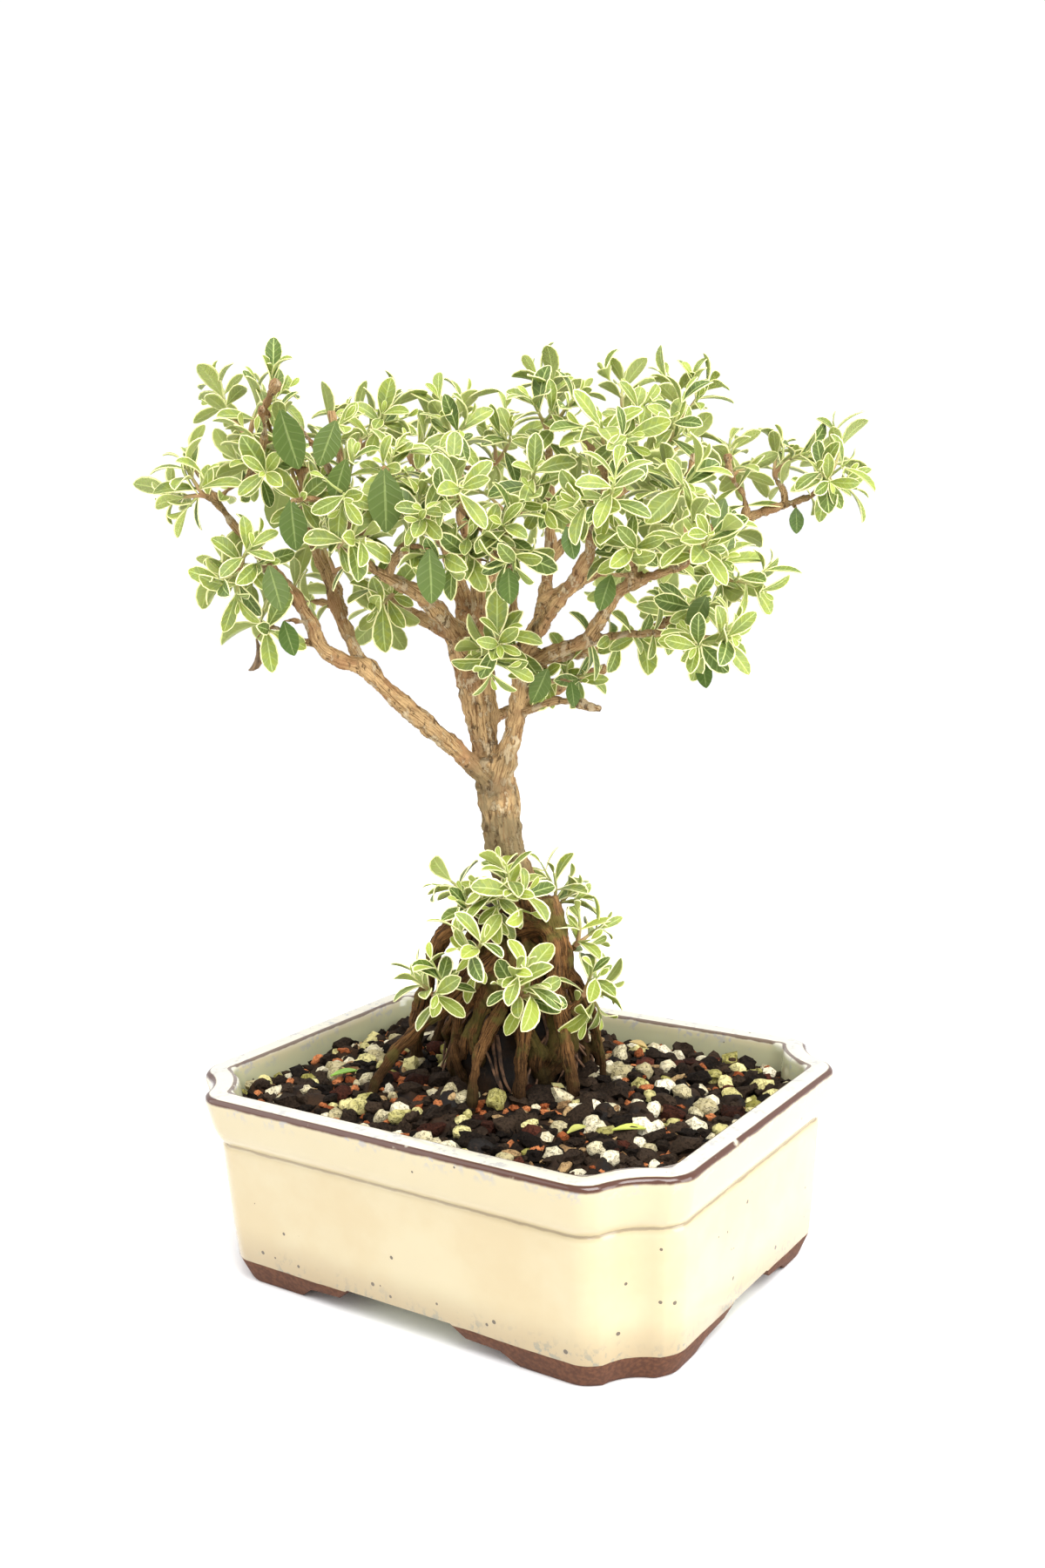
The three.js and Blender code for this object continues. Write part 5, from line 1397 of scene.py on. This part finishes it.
def make_leaf_finish():
    leaf = Finish("variegated leaf")
    place = leaf.place()
    across = leaf.sum("ABSOLUTE", leaf.attribute("across"))
    along = leaf.attribute("along")
    tone = leaf.attribute("tone")
    margin = leaf.attribute("margin")
    blotch = leaf.cloud(place, 420, 3, 0.6)
    middle = leaf.mix(leaf.spread(blotch, 0.38, 0.62), LEAF_MID_GREEN, LEAF_GREY_GREEN)
    middle = leaf.over(middle, LEAF_DARK_GREEN, tone, 0.4, 0.95, 0, 0.85)
    plain = leaf.mix(leaf.spread(tone, 0, 1), LEAF_PLAIN_GREEN, LEAF_DARK_GREEN)
    middle = leaf.over(middle, LEAF_LIME, leaf.attribute("young"), 0, 1, 0, 0.85)
    middle = leaf.over(middle, plain, margin, -0.2, -0.1, 1, 0)
    wave = leaf.minus(leaf.times(along, 7), leaf.times(across, 1.2))
    vein = leaf.sum("ABSOLUTE", leaf.minus(leaf.sum("FRACT", wave), 0.5))
    clear = leaf.spread(margin, -0.2, 0, 0.3, 1)
    middle = leaf.mix(leaf.times(leaf.spread(vein, 0, 0.12, 0.22, 0), clear), middle, LEAF_RIB)
    middle = leaf.mix(leaf.times(leaf.spread(across, 0.03, 0.11, 0.7, 0), clear), middle, LEAF_RIB)
    ragged = leaf.plus(leaf.attribute("edge"), leaf.times(leaf.minus(blotch, 0.5), 0.1))
    rim = leaf.spread(leaf.minus(ragged, margin), -0.012, 0.022, 1, 0)
    cream = leaf.mix(leaf.spread(margin, 0.05, 0.11), LEAF_CREAM, LEAF_IVORY)
    body = leaf.mix(rim, middle, cream)
    body = leaf.mix(leaf.times(leaf.attribute("under"), 0.55), body, LEAF_UNDER)
    woody = leaf.attribute("woody")
    stem = leaf.mix(leaf.spread(woody, 1.1, 1.8), SHOOT_GREEN, SHOOT_BROWN)
    leaf.colour(leaf.mix(leaf.spread(woody, 0.4, 0.6), body, stem))
    leaf.roughness(leaf.spread(blotch, 0.3, 0.7, 0.42, 0.58))
    leaf.set("Specular IOR Level", 0.3)
    veins = leaf.plus(leaf.spread(vein, 0, 0.2, 1, 0), leaf.spread(across, 0, 0.12, 2, 0))
    leaf.bump(veins, 0.25, 0.2 * MM)
    leaf.set("Subsurface Weight", 0.25)
    leaf.set("Subsurface Radius", (0.6, 1, 0.3))
    leaf.set("Subsurface Scale", 0.8 * MM)
    return leaf.material


leaf_material = make_leaf_finish()
leaf_middles = []


def grow_spray(spray, draw):
    """The leafy piece of one spray: its shoots, and pairs of leaves back along its twig."""
    tuft = Spray(spray["root"], draw)
    start = np.array(spray["from"], float)
    twig = spray["twig"]
    heading = unit(twig[-1] - twig[-min(4, len(twig))])
    for tip in spray["to"]:
        tip = np.array(tip, float)
        way = unit(heading + unit(tip - start) * TIP_PULL)
        tuft.shoot(start, way, tip, PAIRS, SIDE_SHOOTS)
    lengths = lengths_along(twig)
    for at in np.arange(TWIG_PAIR_START, lengths[-1] - 1, TWIG_PAIR_STEP):
        i = int(np.searchsorted(lengths, lengths[-1] - at))
        tangent = unit(twig[i] - twig[i - 1])
        tuft.pair(twig[i], tangent, draw.uniform(0, math.tau), *TWIG_PAIR)
    leafy = tuft.heap.piece(f"leafy_{spray['node']}")
    smooth(leafy, LEAF_SMOOTHING)
    finish_piece(leafy, leaf_material, "leaf", spray["node"])


def hang_old_leaves(draw):
    """The large, old, plain leaves, with their faces to the light."""
    old_half = np.array(OLD_LEAF_OUTLINE)[leaf_row]
    heap = Heap()
    for foot, tip in OLD_LEAVES:
        way = np.array(tip, float) - np.array(foot, float)
        length = np.linalg.norm(way)
        outward = -1 if foot[1] < OLD_LEAF_BACK else 1
        upper = np.array([draw.uniform(*OLD_LEAF_ROLL), outward, OLD_LEAF_LIFT])
        width, curl = length * OLD_LEAF_WIDTH, draw.uniform(*OLD_LEAF_CURL)
        blade = bent_blade(length, width, OLD_LEAF_FOLD, curl, old_half)
        points = set_blade(foot, way, upper)(blade)
        add_leaf(heap, points, draw.random())
        leaf_middles.append(points[leaf_row == MIDDLE_ROW].mean(axis=0))
    hanging = heap.piece("old_leaves")
    smooth(hanging, LEAF_SMOOTHING)
    finish_piece(hanging, leaf_material, "leaf")


leaf_draw = random.Random(LEAF_SEED)
hang_old_leaves(leaf_draw)
for spray in SPRAYS:
    grow_spray(spray, leaf_draw)

# Dead leaf. One old leaf has dried brown and curled, and still hangs from a low twig.
DEAD_LEAF = {
    "foot": (-63.5, -10.5, 172), "way": (0.12, -0.1, -1), "upper": (1, -0.4, 0),
    "length": 9, "width": 0.3, "fold": 1.1, "curl": 0.9,
}
DEAD_BROWN = (0.10, 0.06, 0.03, 1)
DEAD_PALE = (0.22, 0.14, 0.07, 1)


def lone_leaf(name, foot, way, upper, length, width, fold, curl):
    """A single leaf as a piece of its own, with its width as a share of its length."""
    put = set_blade(*(np.array(values, float) for values in (foot, way, upper)))
    points = put(bent_blade(length, length * width, fold, curl))
    piece = new_piece(name, [tree_point(point) for point in points], leaf_faces)
    smooth(piece, LEAF_SMOOTHING)
    return piece


dead_leaf = lone_leaf("dead_leaf", **DEAD_LEAF)
dead_material = mottled("dried leaf", 500, (DEAD_BROWN, DEAD_PALE), 0.8, 0.3)
finish_piece(dead_leaf, dead_material, "bark", "tree")

# Fallen leaves. A green leaf and a few yellowed ones lie on the grit.
FALLEN = [
    {"at": (-44, -26), "way": (0.8, 0.6, 0.1), "length": 8.5, "colour": (0.16, 0.30, 0.03, 1)},
    {"at": (44, -22), "way": (1, 0.3, 0.05), "length": 9, "colour": (0.38, 0.42, 0.07, 1)},
    {"at": (36, -30), "way": (0.7, 0.8, 0.1), "length": 7, "colour": (0.36, 0.36, 0.09, 1)},
    {"at": (20, 38), "way": (-0.5, 0.8, 0.1), "length": 8, "colour": (0.42, 0.30, 0.10, 1)},
]
FALLEN_HEIGHT = 3.4
FALLEN_SHAPE = (0.4, 0.2, 0.3)
FALLEN_PALER = 1.35

for number, leaf in enumerate(FALLEN, 1):
    spot = pot_middle + Vector((*leaf["at"], 0)) * MM
    local = (spot - pot_middle) / MM - TREE_AT
    local.rotate(TREE_TURN.inverted())
    local.z = soil_height(spot) / MM + FALLEN_HEIGHT
    fallen = lone_leaf(
        f"fallen_leaf_{number}", local, leaf["way"], (0, 0, 1), leaf["length"], *FALLEN_SHAPE,
    )
    paler = tuple(min(1, value * FALLEN_PALER) for value in leaf["colour"][:3]) + (1,)
    fallen_material = mottled(f"fallen leaf {number}", 420, (leaf["colour"], paler), 0.5)
    finish_piece(fallen, fallen_material, "leaf")

# Studio. A plain pale sheet under the pot, soft white light from all round, one broad lamp above
# and to the right, a low one at the right and a weaker one to the left, and a camera at the
# height of the lower crown that looks a little down.
FLOOR_SIZE = 6
FLOOR_COLOUR = (0.97, 0.97, 0.97, 1)
FLOOR_SHADE = (0.95, 0.95, 0.955, 1)
SKY_STRENGTH = 1.04
LAMPS = [
    ("key", (0.55, -0.35, 0.95), 0.7, 14),
    ("fill", (-0.75, -0.55, 0.6), 0.9, 4),
    ("side", (0.95, 0.1, 0.25), 0.6, 6),
]
LAMP_AIM = Vector((0, 0, 0.12))
CAMERA_TURN = math.radians(34.29)
CAMERA_RISE = math.radians(8.42)
CAMERA_ROLL = math.radians(-1.82)
CAMERA_PLACE = Vector((226.99, -324.72, 189.88))
FILM_SIZE = 36
FOCAL_LENGTH = 34.5
NEAREST_SEEN = 0.01

bpy.ops.object.select_all(action="DESELECT")
bpy.ops.mesh.primitive_plane_add(size=FLOOR_SIZE, location=(0, 0, 0))
floor = bpy.context.object
floor.name = "studio_floor"
floor.data.materials.append(mottled("studio paper", 60, (FLOOR_COLOUR, FLOOR_SHADE), 0.85))

world = bpy.data.worlds.new("studio light")
bpy.context.scene.world = world
world.use_nodes = True
sky = world.node_tree.nodes["Background"]
sky.inputs["Color"].default_value = (1, 1, 1, 1)
sky.inputs["Strength"].default_value = SKY_STRENGTH
for lamp_name, place, size, power in LAMPS:
    bpy.ops.object.light_add(type="AREA", location=place)
    light = bpy.context.object
    light.name = lamp_name
    light.data.size = size
    light.data.energy = power
    light.rotation_euler = (LAMP_AIM - Vector(place)).to_track_quat("-Z", "Y").to_euler()
bpy.context.scene.view_settings.view_transform = "Standard"

level_right = Vector((math.cos(CAMERA_TURN), math.sin(CAMERA_TURN), 0))
camera_back = Vector((
    math.sin(CAMERA_TURN) * math.cos(CAMERA_RISE),
    -math.cos(CAMERA_TURN) * math.cos(CAMERA_RISE),
    math.sin(CAMERA_RISE),
))
level_up = camera_back.cross(level_right)
camera_right = level_right * math.cos(CAMERA_ROLL) + level_up * math.sin(CAMERA_ROLL)
camera_up = level_up * math.cos(CAMERA_ROLL) - level_right * math.sin(CAMERA_ROLL)
bpy.ops.object.camera_add(location=pot_middle + CAMERA_PLACE * MM)
camera = bpy.context.object
camera.rotation_euler = Matrix((camera_right, camera_up, camera_back)).transposed().to_euler()
camera.data.lens = FOCAL_LENGTH
camera.data.sensor_width = FILM_SIZE
camera.data.sensor_fit = "AUTO"
camera.data.clip_start = NEAREST_SEEN
bpy.context.scene.camera = camera
